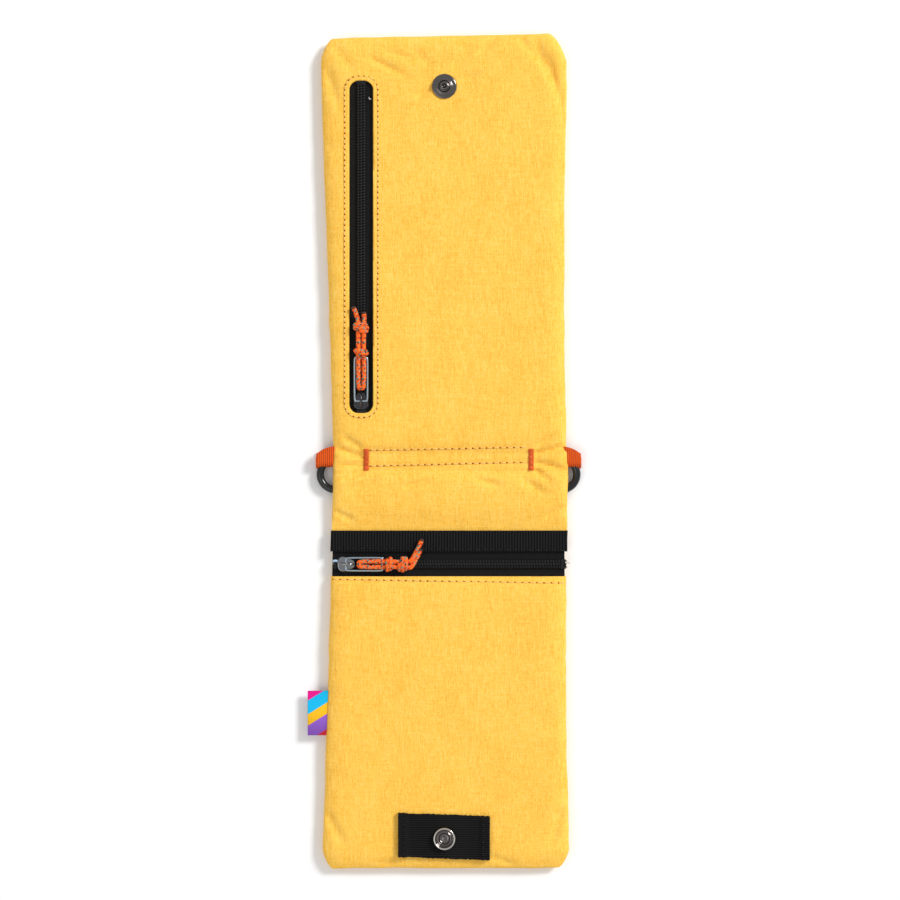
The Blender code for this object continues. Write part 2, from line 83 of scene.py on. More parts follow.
UPPER_CREASE = joint_place("upper_crease")
LOWER_CREASE = joint_place("lower_crease")
SPINE_CUT_Y = -8.4
SPINE_MIDDLE_Y = (UPPER_CREASE[1] + LOWER_CREASE[1]) / 2
LENGTH_TOP = node_box("upper_front_shell")[1][1]
LENGTH_BOTTOM = node_box("lower_front_shell")[0][1]
POCKET_TOP_Y = node_box("lower_front_shell")[1][1]
BAND_LOW, BAND_HIGH = node_box("grosgrain_band")
LOOP_LENGTH = 24.5
LOOP_HALF_THICKNESS = 0.42
LOOP_LEAN = 1.36
BAND_OVERHANG_LEFT = 0.4
BAND_OVERHANG_RIGHT = 0.3
UPPER_ZIP_X = node_centre("upper_zip_coil")[0]
LOWER_ZIP_Y = node_centre("lower_zip_coil")[1]
LOWER_CHAIN_ENDS = (-49.4, 54.6)
SLOT_LOW_Y = node_box("upper_zip_start_stop")[0][1] - 0.1
SLOT_HIGH_Y = node_box("upper_zip_end_stop")[1][1] + 0.1
SLOT_MIDDLE_Y = (SLOT_LOW_Y + SLOT_HIGH_Y) / 2
SLOT_HALF_LENGTH = (SLOT_HIGH_Y - SLOT_LOW_Y) / 2
SLOT_HALF_WIDTH = 5.3
SLOT_CORNER = 4.0
FLAP_END_Y = -36.9
ROW_ENDS_X = (-33.0, 37.0)
PAD_HEIGHT = 8.0
END_TAPER = 0.8
SEAM_Z = 4.1
FRONT_ROUNDING = 9.0
BACK_ROUNDING = 6.0
THINNEST = 0.12
HOLE_RADIUS = 0.42
HOLE_DEPTH = 0.6
HOLE_SIDES = 8
THREAD_SHARE = 0.62
CORD_RADIUS = 1.02
WIRE_RADIUS = 0.42

# ---------------------------------------------------------------- small tools


def smooth(value, low, high):
    t = min(max((value - low) / (high - low), 0.0), 1.0)
    return t * t * (3 - 2 * t)


def bell(offset, width):
    """1 at no offset, falling smoothly to nothing a few widths away."""
    return math.exp(-((offset / width) ** 2))


def rounding(distance, radius):
    """0 on an edge, rising as a quarter circle to 1 at the given radius and beyond."""
    t = 1 - min(max(distance, 0.0) / radius, 1.0)
    return math.sqrt(1 - t * t)


def grain(x, y, size, seed=0.0):
    """Smooth noise between about -1 and 1 with features of the given size."""
    return noise.noise(Vector((x / size, y / size, seed)))


def valley(x, y, start, end, width):
    """1 on the line from start to end, falling smoothly to 0 at the given width and at the line's ends."""
    across_x, across_y = end[0] - start[0], end[1] - start[1]
    length = math.hypot(across_x, across_y)
    along = ((x - start[0]) * across_x + (y - start[1]) * across_y) / length**2
    if not -0.1 < along < 1.1:
        return 0.0
    off = abs((x - start[0]) * across_y - (y - start[1]) * across_x) / length
    fade = smooth(along, -0.1, 0.25) * (1 - smooth(along, 0.6, 1.1))
    return fade * bell(off, width)


def piece(name, points, faces, material, shade_smooth=True):
    """A mesh object from points in millimetres."""
    mesh = bpy.data.meshes.new(name)
    mesh.from_pydata([(x * MM, y * MM, z * MM) for x, y, z in points], [], faces)
    mesh.materials.append(material)
    mesh.polygons.foreach_set("use_smooth", [shade_smooth] * len(mesh.polygons))
    mesh.update()
    obj = bpy.data.objects.new(name, mesh)
    bpy.context.scene.collection.objects.link(obj)
    return obj


def grid_faces(rows, columns, offset=0, flip=False):
    faces = []
    for j in range(rows - 1):
        for i in range(columns - 1):
            a = offset + j * columns + i
            quad = (a, a + 1, a + columns + 1, a + columns)
            faces.append(quad[::-1] if flip else quad)
    return faces


def closed_sheet(name, upper, lower, rows, columns, material):
    """A sheet from a grid of top points, the same grid of bottom points, and the rim between them."""
    count = len(upper)
    faces = grid_faces(rows, columns) + grid_faces(rows, columns, count, flip=True)
    rim = list(range(columns)) + [j * columns + columns - 1 for j in range(1, rows)]
    rim += [(rows - 1) * columns + i for i in range(columns - 2, -1, -1)]
    rim += [j * columns for j in range(rows - 2, 0, -1)]
    faces += [(a, a + count, b + count, b) for a, b in zip(rim, rim[1:] + rim[:1])]
    return piece(name, upper + lower, faces, material)


def slab(name, material, xs_at, ys, top, bottom):
    """A closed sheet between two height functions, sampled at each y and at the x places for it."""
    upper, lower = [], []
    for y in ys:
        for x in xs_at(y):
            height = top(x, y)
            upper.append((x, y, height))
            lower.append((x, y, min(bottom(x, y), height - THINNEST)))
    obj = closed_sheet(name, upper, lower, len(ys), len(xs_at(ys[0])), material)
    obj.data.set_sharp_from_angle(angle=math.radians(50))
    return obj


def frames_along(points, closed):
    """Tangent, side and up vectors along a path, turned as little as possible from point to point."""
    count = len(points)
    tangents = []
    for i in range(count):
        before = points[i - 1] if i or closed else points[i]
        after = points[(i + 1) % count] if i < count - 1 or closed else points[i]
        tangents.append((after - before).normalized())
    up = Vector((0, 0, 1)) if abs(tangents[0].z) < 0.9 else Vector((0, 1, 0))
    frames = []
    for tangent in tangents:
        side = tangent.cross(up).normalized()
        up = side.cross(tangent).normalized()
        frames.append((side, up))
    return frames


def tube_mesh(paths, radius, sides=8, closed=False):
    """Points, faces and UVs of round tubes along the paths; V runs in millimetres along each."""
    points, faces, uvs = [], [], []
    for path in paths:
        path = [Vector(p) for p in path]
        base = len(points)
        run = 0.0
        runs = []
        for index, (where, (side, up)) in enumerate(zip(path, frames_along(path, closed))):
            run += (where - path[index - 1]).length if index else 0.0
            runs.append(run)
            size = radius(index / (len(path) - 1)) if callable(radius) else radius
            for k in range(sides):
                angle = 2 * math.pi * k / sides
                points.append(where + side * math.cos(angle) * size + up * math.sin(angle) * size)
        lines = len(path) if closed else len(path) - 1
        for j in range(lines):
            following = (j + 1) % len(path)
            high = runs[following] if following else runs[-1] + 1.0
            for k in range(sides):
                m = (k + 1) % sides
                a, b = base + j * sides, base + following * sides
                faces.append((a + k, a + m, b + m, b + k))
                left, right = k / sides, (k + 1) / sides
                uvs.append(((left, runs[j]), (right, runs[j]), (right, high), (left, high)))
        if not closed:
            last = base + (len(path) - 1) * sides
            faces.append(tuple(base + k for k in reversed(range(sides))))
            faces.append(tuple(last + k for k in range(sides)))
            uvs.append(((0.0, 0.0),) * sides)
            uvs.append(((0.0, run),) * sides)
    return points, faces, uvs


def tubes(name, paths, radius, material, sides=8, closed=False):
    points, faces, uvs = tube_mesh(paths, radius, sides, closed)
    obj = piece(name, points, faces, material)
    layer = obj.data.uv_layers.new(name="along")
    flat = [value for corner_uvs in uvs for corner in corner_uvs for value in corner]
    layer.data.foreach_set("uv", flat)
    return obj


def curve_through(points, per_span=8, closed=False):
    """Smooth Catmull-Rom curve through given points."""
    points = [Vector(p) for p in points]
    count = len(points)
    spans = count if closed else count - 1
    out = []
    for i in range(spans):
        p1, p2 = points[i], points[(i + 1) % count]
        p0 = points[i - 1] if i or closed else p1 + (p1 - p2)
        p3 = points[(i + 2) % count] if i < count - 2 or closed else p2 + (p2 - p1)
        for k in range(per_span):
            t = k / per_span
            out.append(0.5 * (2 * p1 + (p2 - p0) * t + (2 * p0 - 5 * p1 + 4 * p2 - p3) * t**2
                              + (3 * p1 - p0 - 3 * p2 + p3) * t**3))
    if not closed:
        out.append(points[-1])
    return out


def arc(centre, radius, start, end, steps):
    angles = [math.radians(start + (end - start) * i / steps) for i in range(steps + 1)]
    return [(centre[0] + radius * math.cos(a), centre[1] + radius * math.sin(a)) for a in angles]


def racetrack(centre, half_width, half_length, radius, steps=8):
    """Closed outline of a rectangle with rounded corners."""
    points = []
    corners = ((1, 1, 0), (-1, 1, 90), (-1, -1, 180), (1, -1, 270))
    for sign_x, sign_y, start in corners:
        middle = (centre[0] + sign_x * (half_width - radius), centre[1] + sign_y * (half_length - radius))
        points += arc(middle, radius, start, start + 90, steps)
    return points


def resample(path, step, closed=False):
    """Points at equal steps along a flat path."""
    line = [Vector((*p[:2], 0)) for p in path]
    if closed:
        line.append(line[0])
    lengths = [0.0]
    for a, b in zip(line, line[1:]):
        lengths.append(lengths[-1] + (b - a).length)
    count = max(round(lengths[-1] / step), 1)
    out = []
    for i in range(count + (0 if closed else 1)):
        target = lengths[-1] * i / count
        j = int(np.searchsorted(lengths, target, side="right")) - 1
        j = min(j, len(line) - 2)
        share = (target - lengths[j]) / max(lengths[j + 1] - lengths[j], 1e-9)
        out.append(line[j].lerp(line[j + 1], share))
    return out


def turned(name, profile, centre, material, steps=48):
    """A profile of (radius, height) points spun round a vertical axis."""
    points, faces, rings = [], [], []
    for radius, z in profile:
        around = 1 if radius == 0 else steps
        rings.append((len(points), around))
        for k in range(around):
            angle = 2 * math.pi * k / steps
            points.append((centre[0] + radius * math.cos(angle), centre[1] + radius * math.sin(angle), z))
    for (a, count_a), (b, count_b) in zip(rings, rings[1:]):
        for k in range(steps):
            m = (k + 1) % steps
            corners = [a + k % count_a, a + m % count_a, b + m % count_b, b + k % count_b]
            faces.append(tuple(dict.fromkeys(corners)))
    return piece(name, points, faces, material)


def bevelled(obj, width, segments=3):
    """Rounds an object's sharp edges and applies the result."""
    modifier = obj.modifiers.new("rounding", "BEVEL")
    modifier.width = width * MM
    modifier.segments = segments
    modifier.limit_method = "ANGLE"
    apply_modifiers(obj)
    return obj


def apply_modifiers(obj):
    graph = bpy.context.evaluated_depsgraph_get()
    mesh = bpy.data.meshes.new_from_object(obj.evaluated_get(graph))
    obj.modifiers.clear()
    obj.data = mesh


def prism(name, outline, low, high, material, turn=None):
    """A flat outline in its own plane, extruded from low to high and moved by a matrix in millimetres."""
    points = [(a, b, low) for a, b in outline] + [(a, b, high) for a, b in outline]
    count = len(outline)
    faces = [tuple(reversed(range(count))), tuple(range(count, 2 * count))]
    faces += [(i, (i + 1) % count, count + (i + 1) % count, count + i) for i in range(count)]
    if turn:
        points = [tuple(turn @ Vector(p)) for p in points]
    return piece(name, points, faces, material, shade_smooth=False)


# ---------------------------------------------------------------- materials


class Shader:
    """A Principled material with short ways to add and join nodes."""

    def __init__(self, name, roughness, metallic=0.0, sheen=0.0, gloss=0.5):
        self.material = bpy.data.materials.new(name)
        self.material.use_nodes = True
        self.tree = self.material.node_tree
        self.surface = self.tree.nodes["Principled BSDF"]
        self.surface.inputs["Roughness"].default_value = roughness
        self.surface.inputs["Metallic"].default_value = metallic
        self.surface.inputs["Sheen Weight"].default_value = sheen
        self.surface.inputs["Specular IOR Level"].default_value = gloss
        self.coords = self.node("ShaderNodeTexCoord").outputs["Object"]

    def node(self, kind, values=None, **links):
        made = self.tree.nodes.new(kind)
        for key, value in (values or {}).items():
            if isinstance(key, str) and hasattr(made, key) and key.islower():
                setattr(made, key, value)
            else:
                made.inputs[key].default_value = value
        for key, source in links.items():
            self.tree.links.new(source, made.inputs[key])
        return made

    def join(self, source, target):
        self.tree.links.new(source, target)

    def stretched(self, scale, turn=0.0):
        """Coordinates in millimetres, scaled by axis and turned about Z."""
        values = {"Scale": tuple(s / MM for s in scale), "Rotation": (0.0, 0.0, turn)}
        return self.node("ShaderNodeMapping", values, Vector=self.coords).outputs["Vector"]

    def noise(self, scale, detail=3.0, turn=0.0, roughness=0.55):
        values = {"Scale": 1.0, "Detail": detail, "Roughness": roughness}
        return self.node("ShaderNodeTexNoise", values, Vector=self.stretched(scale, turn)).outputs["Fac"]

    def wave(self, direction, per_mm, turn=0.0):
        """Bands across one axis, the given number to a millimetre; the node's own bands are pi / 10 apart."""
        values = {"bands_direction": direction, "Scale": per_mm * math.pi / 10}
        vector = self.stretched((1, 1, 1), turn)
        return self.node("ShaderNodeTexWave", values, Vector=vector).outputs["Fac"]

    def math(self, operation, a, b=0.0):
        made = self.node("ShaderNodeMath", {"operation": operation})
        for index, value in enumerate((a, b)):
            if isinstance(value, (int, float)):
                made.inputs[index].default_value = value
            else:
                self.join(value, made.inputs[index])
        return made.outputs[0]

    def ramp(self, source, stops, constant=False):
        made = self.node("ShaderNodeValToRGB", Fac=source)
        ramp = made.color_ramp
        ramp.interpolation = "CONSTANT" if constant else "LINEAR"
        while len(ramp.elements) < len(stops):
            ramp.elements.new(0.5)
        for element, (place, colour) in zip(ramp.elements, stops):
            element.position = place
            element.color = (*colour, 1.0)
        return made.outputs["Color"]

    def weighted(self, *terms):
        """Sum of sources, each multiplied by its weight."""
        total = None
        for source, weight in terms:
            part = self.math("MULTIPLY", source, weight)
            total = part if total is None else self.math("ADD", total, part)
        return total

    def colour(self, source):
        if isinstance(source, tuple):
            self.surface.inputs["Base Color"].default_value = (*source, 1.0)
        else:
            self.join(source, self.surface.inputs["Base Color"])

    def roughness(self, source, low, high):
        made = self.node("ShaderNodeMapRange", {"To Min": low, "To Max": high}, Value=source)
        self.join(made.outputs["Result"], self.surface.inputs["Roughness"])

    def bump(self, height, depth_mm, strength=1.0):
        """Adds a bump of the given depth on top of those already there."""
        socket = self.surface.inputs["Normal"]
        made = self.node("ShaderNodeBump", {"Strength": strength, "Distance": depth_mm * MM}, Height=height)
        if socket.links:
            self.join(socket.links[0].from_socket, made.inputs["Normal"])
        self.join(made.outputs["Normal"], socket)


def tint(colour, factor):
    return tuple(min(c * factor, 1.0) for c in colour)


def shell_fabric(name="shell_fabric", colour=(0.97, 0.555, 0.078)):
    """Washed plain-weave nylon: fine crossing slubs, a faint mottle and small crinkles."""
    shader = Shader(name, 0.8, gloss=0.2, sheen=0.04)
    lengthways = shader.noise((2.6, 0.12, 0.4), 4.0, roughness=0.65)
    crossways = shader.noise((0.10, 2.6, 0.4), 4.0, roughness=0.65)
    mottle = shader.noise((0.09, 0.05, 0.06), 5.0)
    fine = shader.noise((1.6, 0.7, 1.1), 3.0, roughness=0.7)
    threads = shader.weighted((lengthways, 0.6), (crossways, 0.4))
    tone = shader.weighted((threads, 0.56), (mottle, 0.09), (fine, 0.35))
    darker = (colour[0] * 0.90, colour[1] * 0.76, colour[2] * 0.50)
    lighter = (min(colour[0] * 1.03, 1.0), colour[1] * 1.15, colour[2] * 1.8)
    shader.colour(shader.ramp(tone, ((0.40, darker), (0.5, colour), (0.60, lighter))))
    crinkle = shader.noise((0.55, 0.26, 0.4), 5.0, roughness=0.65)
    shader.bump(crinkle, 0.5, 0.6)
    shader.bump(threads, 0.4, 0.8)
    return shader.material


def ribbed_webbing(name, dark, light, rib_mm, direction="X", depth=0.25, gloss=0.12):
    """Woven tape with raised ribs across one direction and small threads over them."""
    shader = Shader(name, 0.75, gloss=gloss)
    ribs = shader.wave(direction, 1 / rib_mm)
    threads = shader.noise((2.2, 2.2, 2.2), 3.0)
    tone = shader.weighted((ribs, 0.55), (threads, 0.45))
    shader.colour(shader.ramp(tone, ((0.2, dark), (0.8, light))))
    shader.bump(ribs, depth, 0.8)
    shader.bump(threads, 0.15, 0.6)
    return shader.material


def herringbone_tape(name):
    """Zip tape: slanted twill lines that change direction from stripe to stripe."""
    shader = Shader(name, 0.7, gloss=0.12)
    one = shader.wave("X", 1 / 0.9, turn=math.radians(45))
    other = shader.wave("X", 1 / 0.9, turn=math.radians(-45))
    stripe = shader.math("GREATER_THAN", shader.wave("Y", 1 / 3.2), 0.5)
    twill = shader.math("ADD", shader.math("MULTIPLY", one, stripe),
                        shader.math("MULTIPLY", other, shader.math("SUBTRACT", 1.0, stripe)))
    shader.colour(shader.ramp(twill, ((0.2, (0.002, 0.002, 0.0025)), (0.9, (0.012, 0.012, 0.013)))))
    shader.bump(twill, 0.15, 0.7)
    return shader.material


def plain(name, colour, roughness, metallic=0.0, variation=0.08, grain_mm=0.4, depth=0.03, gloss=0.5):
    """Metal, plastic or thread with a slight change of tone and a fine grain."""
    shader = Shader(name, roughness, metallic, gloss=gloss)
    spots = shader.noise((1 / grain_mm, 1 / grain_mm, 1 / grain_mm), 3.0)
    stops = ((0.3, tint(colour, 1 - variation)), (0.7, tint(colour, 1 + variation)))
    shader.colour(shader.ramp(spots, stops))
    shader.roughness(spots, max(roughness - 0.06, 0.02), roughness + 0.08)
    shader.bump(spots, depth, 0.5)
    return shader.material


def braided_cord(name):
    """Braided cord: orange with teal, sage and near-black flecks that follow the braid."""
    shader = Shader(name, 0.7, gloss=0.25)
    along = shader.node("ShaderNodeUVMap", {"uv_map": "along"}).outputs["UV"]
    split = shader.node("ShaderNodeSeparateXYZ", Vector=along)
    around = shader.math("MULTIPLY", split.outputs["X"], 8.0)
    run = shader.math("DIVIDE", split.outputs["Y"], 0.85)
    left = shader.math("FLOOR", shader.math("ADD", around, run))
    right = shader.math("FLOOR", shader.math("SUBTRACT", run, around))
    cell = shader.node("ShaderNodeCombineXYZ", X=left, Y=right)
    pick = shader.node("ShaderNodeTexWhiteNoise", Vector=cell.outputs["Vector"]).outputs["Value"]
    orange, deep = (0.93, 0.13, 0.012), (0.60, 0.05, 0.006)
    stops = ((0.0, orange), (0.52, deep), (0.64, (0.10, 0.30, 0.24)), (0.76, (0.012, 0.014, 0.03)),
             (0.86, (0.95, 0.22, 0.03)))
    shader.colour(shader.ramp(pick, stops, constant=True))
    weave = shader.math("MULTIPLY", shader.math("FRACT", shader.math("ADD", around, run)),
                        shader.math("FRACT", shader.math("SUBTRACT", run, around)))
    shader.bump(weave, 0.3, 0.7)
    return shader.material


def striped_label(name):
    """Woven label with plain diagonal stripes."""
    shader = Shader(name, 0.6, gloss=0.2)
    split = shader.node("ShaderNodeSeparateXYZ", Vector=shader.stretched((1, 1, 1)))
    rise = shader.math("MULTIPLY", split.outputs["X"], 0.62)
    slant = shader.math("SUBTRACT", rise, split.outputs["Y"])
    place = shader.math("FRACT", shader.math("DIVIDE", shader.math("SUBTRACT", slant, 67.0), 28.0))
    stops = ((0.0, (0.78, 0.008, 0.26)), (0.22, (0.004, 0.46, 0.80)), (0.44, (0.92, 0.50, 0.012)),
             (0.62, (0.30, 0.12, 0.62)), (0.86, (0.72, 0.03, 0.05)))
    weave = shader.math("ADD", shader.wave("X", 1 / 0.45), shader.wave("Y", 1 / 0.45))
    shader.colour(shader.ramp(place, stops, constant=True))
    shader.bump(weave, 0.06, 0.6)
    return shader.material


MATERIALS = {
    "shell": shell_fabric(),
    "band": ribbed_webbing("black_grosgrain", (0.001, 0.001, 0.0012), (0.012, 0.012, 0.013), 1.25),
    "tab": ribbed_webbing("black_webbing", (0.001, 0.001, 0.001), (0.013, 0.012, 0.012), 1.0, "Y"),
    "orange": ribbed_webbing("orange_webbing", (0.42, 0.035, 0.004), (0.86, 0.13, 0.010), 0.9, gloss=0.2),
    "tape": herringbone_tape("zip_tape"),
    "coil": plain("zip_coil", (0.004, 0.004, 0.005), 0.45, grain_mm=0.3, gloss=0.3),
    "nickel": plain("nickel", (0.27, 0.275, 0.29), 0.12, 1.0, variation=0.2, grain_mm=0.8),
    "dark_nickel": plain("dark_nickel", (0.075, 0.075, 0.08), 0.14, 1.0, variation=0.2, grain_mm=0.8),
    "wire": plain("pull_wire", (0.40, 0.50, 0.58), 0.25, 1.0),
    "cord": braided_cord("pull_cord"),
    "burnt": plain("melted_cord_end", (0.05, 0.015, 0.008), 0.5, grain_mm=0.3, depth=0.1),
    "gunmetal": plain("gunmetal", (0.15, 0.135, 0.13), 0.14, 1.0, variation=0.2),
    # Paler copy of the socket metal: a painted highlight on the socket's rim.
    "snap_rim_highlight": plain("snap_rim_painted_highlight", (0.55, 0.52, 0.49), 0.12, 1.0, variation=0.12),
    "ring": plain("ring_plastic", (0.006, 0.006, 0.007), 0.13, depth=0.01),
    "label": striped_label("side_label"),
    "gold_thread": plain("gold_thread", (0.92, 0.56, 0.17), 0.6, variation=0.15, grain_mm=0.25, depth=0.05),
    "grey_thread": plain("grey_thread", (0.42, 0.42, 0.43), 0.6, variation=0.15, grain_mm=0.25, depth=0.05),
    # Pale blue: a painted reflection of the lower slider's nose.
    "slider_reflection_paint": plain("slider_reflection_paint", (0.40, 0.55, 0.72), 0.35, variation=0.15, grain_mm=0.4, depth=0.05),
    "orange_thread": plain("orange_thread", (0.70, 0.11, 0.012), 0.6, variation=0.3, grain_mm=0.3, depth=0.1),
    "black_thread": plain("black_thread", (0.003, 0.003, 0.004), 0.5, variation=0.2, grain_mm=0.3, depth=0.05,
                          gloss=0.3),
    # Darkened cloth colour: painted shade inside the needle holes.
    "needle_hole_shade": plain("needle_hole_shade", (0.36, 0.085, 0.008), 0.9, variation=0.3, gloss=0.1),
    "foam": plain("padding_foam", (0.72, 0.72, 0.70), 0.9, depth=0.2),
    "lining": plain("blue_lining", (0.09, 0.17, 0.40), 0.7, depth=0.05),
}


# ---------------------------------------------------------------- cloth shapes


def outline(y):
    """Left and right edge of the pouch at y: a slight flare to both ends, soft waves, blunt corners."""
    if y >= 0:
        left = -49.6 - 5.3 * min(y / 165, 1.0) ** 1.1
        right = 53.4 + 1.2 * min(abs(y - 80) / 80, 1.0) ** 2
        end, left_corner, right_corner = LENGTH_TOP, (5.6, 9.0), (8.6, 12.0)
    else:
        left = -49.6 - 4.9 * (-y / 185) ** 1.3
        right = 54.2 + 1.6 * ((y + 85) / 95) ** 2
        end, left_corner, right_corner = -LENGTH_BOTTOM, (4.9, 8.0), (5.6, 8.0)
    calm = 1 - 0.7 * bell(y + 45, 12)
    left += calm * (0.35 * grain(3.0, y, 13.0, 50.0) + 0.2 * grain(5.0, y, 5.0, 51.0))
    right += calm * (0.35 * grain(7.0, y, 13.0, 52.0) + 0.2 * grain(9.0, y, 5.0, 53.0))
    return left + corner_cut(*left_corner, end - abs(y)), right - corner_cut(*right_corner, end - abs(y))


def corner_cut(width, length, to_end):
    """How far a blunt corner, half rounded and half straight, draws the edge in."""
    t = min(max(1 - to_end / length, 0.0), 1.0)
    return width * (0.45 * t + 0.55 * (1 - math.sqrt(1 - t * t)))


def stations(low, high, step, fine_end=None):
    """Places from low to high, closer together by the rounded end."""
    count = int((high - low) / step) + 1
    values = [low + (high - low) * i / count for i in range(count + 1)]
    if fine_end is None:
        return values
    kept = [v for v in values if abs(v - fine_end) > 9.0]
    fine = [fine_end + math.copysign(9.0 * (1 - math.sin(math.pi / 2 * i / 14)), (low + high) / 2 - fine_end)
            for i in range(15)]
    return sorted(kept + fine)


def columns_at(count):
    """X places across the pouch, closer together near the edges."""

    def at(y):
        left, right = outline(y)
        return [left + (right - left) * share for share in shares]

    edge = [0.5 * (i / 8) ** 1.5 * 0.12 for i in range(8)]
    inner = [0.06 + 0.88 * i / (count - 17) for i in range(count - 16)]
    shares = edge + inner + [1 - e for e in reversed(edge)]
    return at


# Each crease that the cloth has kept: its start, end, width and share of the full depth.
CREASE_DEPTH = 3.2
CREASES = (
    ((-33.5, 175.5), (-16.5, 167.0), 1.1, 0.5),
    ((-27.0, 178.5), (-9.0, 173.5), 1.4, 0.3),
    ((-13.0, 157.0), (-3.5, 163.5), 1.3, 0.4),
    ((4.5, 164.0), (16.0, 169.0), 1.2, 0.35),
    ((14.0, 176.0), (24.0, 184.0), 1.4, 0.35),
    ((30.0, 146.0), (27.0, 139.0), 0.7, 0.3),
    ((-6.0, -12.0), (-20.0, -17.0), 1.3, 0.35),
    ((12.0, -11.5), (26.0, -15.5), 1.3, 0.35),
    ((-50.0, -26.0), (-40.0, -31.0), 1.3, 0.35),
    ((54.0, -24.0), (43.0, -30.0), 1.3, 0.35),
    ((-34.0, -3.5), (-49.5, 2.0), 1.3, 0.55),
    ((-34.5, -5.5), (-49.0, -6.5), 1.2, 0.5),
    ((-35.0, -8.5), (-48.0, -13.5), 1.3, 0.5),
    ((-36.5, 1.0), (-46.0, 7.5), 1.3, 0.5),
    ((-30.0, -11.0), (-44.0, -19.0), 1.5, 0.35),
    ((39.0, -1.5), (54.5, 3.0), 1.2, 0.55),
    ((39.5, -4.5), (54.5, -8.0), 1.2, 0.6),
    ((39.5, -7.5), (48.0, -14.0), 1.2, 0.5),
    ((40.0, 2.0), (50.0, 8.0), 1.3, 0.45),
    ((33.0, -11.0), (46.0, -20.0), 1.5, 0.35),
    ((-5.0, 171.0), (-16.0, 181.0), 1.8, 0.25),
    ((3.0, 170.0), (14.0, 180.0), 1.8, 0.25),
    ((40.0, 183.0), (51.0, 160.0), 2.0, 0.55),
    ((33.0, 184.0), (46.0, 170.0), 1.8, 0.4),
    ((46.0, 178.0), (53.0, 150.0), 1.6, 0.4),
    ((-53.0, 172.0), (-46.0, 150.0), 2.0, 0.35),
    ((-50.0, 183.0), (-40.0, 168.0), 2.0, 0.3),
    ((-53.0, -160.0), (-44.0, -176.0), 2.0, 0.4),
    ((53.0, -158.0), (46.0, -178.0), 2.0, 0.4),
    ((-20.0, -181.5), (-30.0, -184.0), 1.5, 0.3),
    ((21.0, -180.0), (32.0, -184.0), 1.5, 0.3),
)


def crinkles(x, y):
    """Irregular waves, larger near the long edges, set creases, and the roll below the lower stitch row."""
    left, right = outline(y)
    near_edge = math.exp(-min(x - left, right - x) / 9.0)
    waves = 0.35 * grain(x, y * 0.5, 17.0, 2.0) + 0.17 * grain(x, y * 0.6, 6.5, 5.0)
    waves += 0.09 * grain(x, y, 2.9, 9.0)
    edge_waves = 0.75 * near_edge * grain(x * 0.25, y, 7.0, 14.0)
    pucker = 0.3 * bell(y + 2.6, 4.5) * grain(x, y * 0.4, 2.4, 19.0)
    sets = sum(depth * valley(x, y, start, end, width) for start, end, width, depth in CREASES)
    below_row = y - lower_row(x)
    roll = 0.55 * bell(below_row + 3.4, 1.8) - 0.55 * bell(below_row + 1.3, 0.9)
    roll *= 1 - smooth(abs(x - 1.0), 34.0, 46.0)
    return waves + edge_waves + pucker + roll - CREASE_DEPTH * sets


def pad_top(x, y, near_y, near_rounding, near_z):
    """Top of a padded pouch that rises from near_z on its spine side and curls down to the side seams."""
    left, right = outline(y)
    full = PAD_HEIGHT - END_TAPER * (y / LENGTH_TOP) ** 2
    end = LENGTH_TOP if y > 0 else -LENGTH_BOTTOM
    edge = rounding(min(x - left, right - x), FRONT_ROUNDING) * rounding(end - abs(y), FRONT_ROUNDING)
    near = near_z + (full - near_z) * rounding(abs(y - near_y), near_rounding)
    low = SEAM_Z + 0.25
    return low + (near - low) * edge + crinkles(x, y) * min(edge * 1.5, 1.0)


def pad_bottom(x, y):
    """Underside of the pouch: flat where it rests, curling up to the seams and thin over the creases."""
    left, right = outline(y)
    end = LENGTH_TOP if y > 0 else -LENGTH_BOTTOM
    edge = rounding(min(x - left, right - x), BACK_ROUNDING) * rounding(end - abs(y), BACK_ROUNDING)
    spine = 1.15 * (1 - smooth(abs(y - SPINE_MIDDLE_Y), 6.0, 13.0))
    ring_room = (1 - smooth(abs(y + 8.0), 11.0, 15.0)) * smooth(abs(x - 1.0), 34.0, 40.0)
    raised = max(SEAM_Z * (1 - edge), spine, 4.95 * ring_room)
    return raised + 0.15 + 0.1 * grain(x, y, 9.0, 31.0)


def ditch(x, y, middle, depth, width):
    """How deep a pressed-in line along X lies near y = middle."""
    return -depth * bell(y - middle, width)


def stitch_row_y(x, left_y, right_y):
    left, right = ROW_ENDS_X
    return left_y + (right_y - left_y) * (x - left) / (right - left)


def upper_row(x):
    return stitch_row_y(x, 0.65, 1.9)


def lower_row(x):
    return stitch_row_y(x, -6.4, -4.7)


def inner_cloth_top(x, y):
    """The inner cloth over the upper pouch, the spine and the flap, as one surface."""
    left, right = outline(y)
    if y > UPPER_CREASE[1] - 1.0:
        top = pad_top(x, y, UPPER_CREASE[1] - 1.0, 11.0, 5.9)
        welt = slot_distance(x, y)
        top += 0.35 * bell(welt - 1.0, 0.9) - 0.28 * bell(welt - 2.1, 0.45)
    else:
        edge = rounding(min(x - left, right - x), 5.0)
        middle = 5.9 + 0.9 * smooth(abs(x - 1.0), 38.0, 44.0) * (1 - smooth(-y, 8.0, 20.0))
        swell = 1.3 * smooth(-y, 8.5, 13.0) * (1 - smooth(-y, 15.0, 36.0))
        fall = 1.5 * smooth(-y, 24.0, 35.5)
        top = SEAM_Z + 0.35 + (middle + swell - fall - SEAM_Z - 0.35) * edge + crinkles(x, y) * edge
    within = smooth(x, -36.0, -33.0) * (1 - smooth(x, 37.0, 40.0))
    stitched = ditch(x, y, upper_row(x), 0.55, 0.8) + ditch(x, y, lower_row(x), 0.55, 0.8)
    crease = ditch(x, y, LOWER_CREASE[1] + 1.3, 1.3, 1.5) * (0.3 + 0.7 * within)
    if y > UPPER_CREASE[1]:
        beside_seam = smooth(y, 60.0, 110.0) * (1 - smooth(y, 165.0, 175.0))
        crease -= 0.5 * bell(right - x - 1.9, 0.6) * beside_seam
    return top + stitched * within + crease


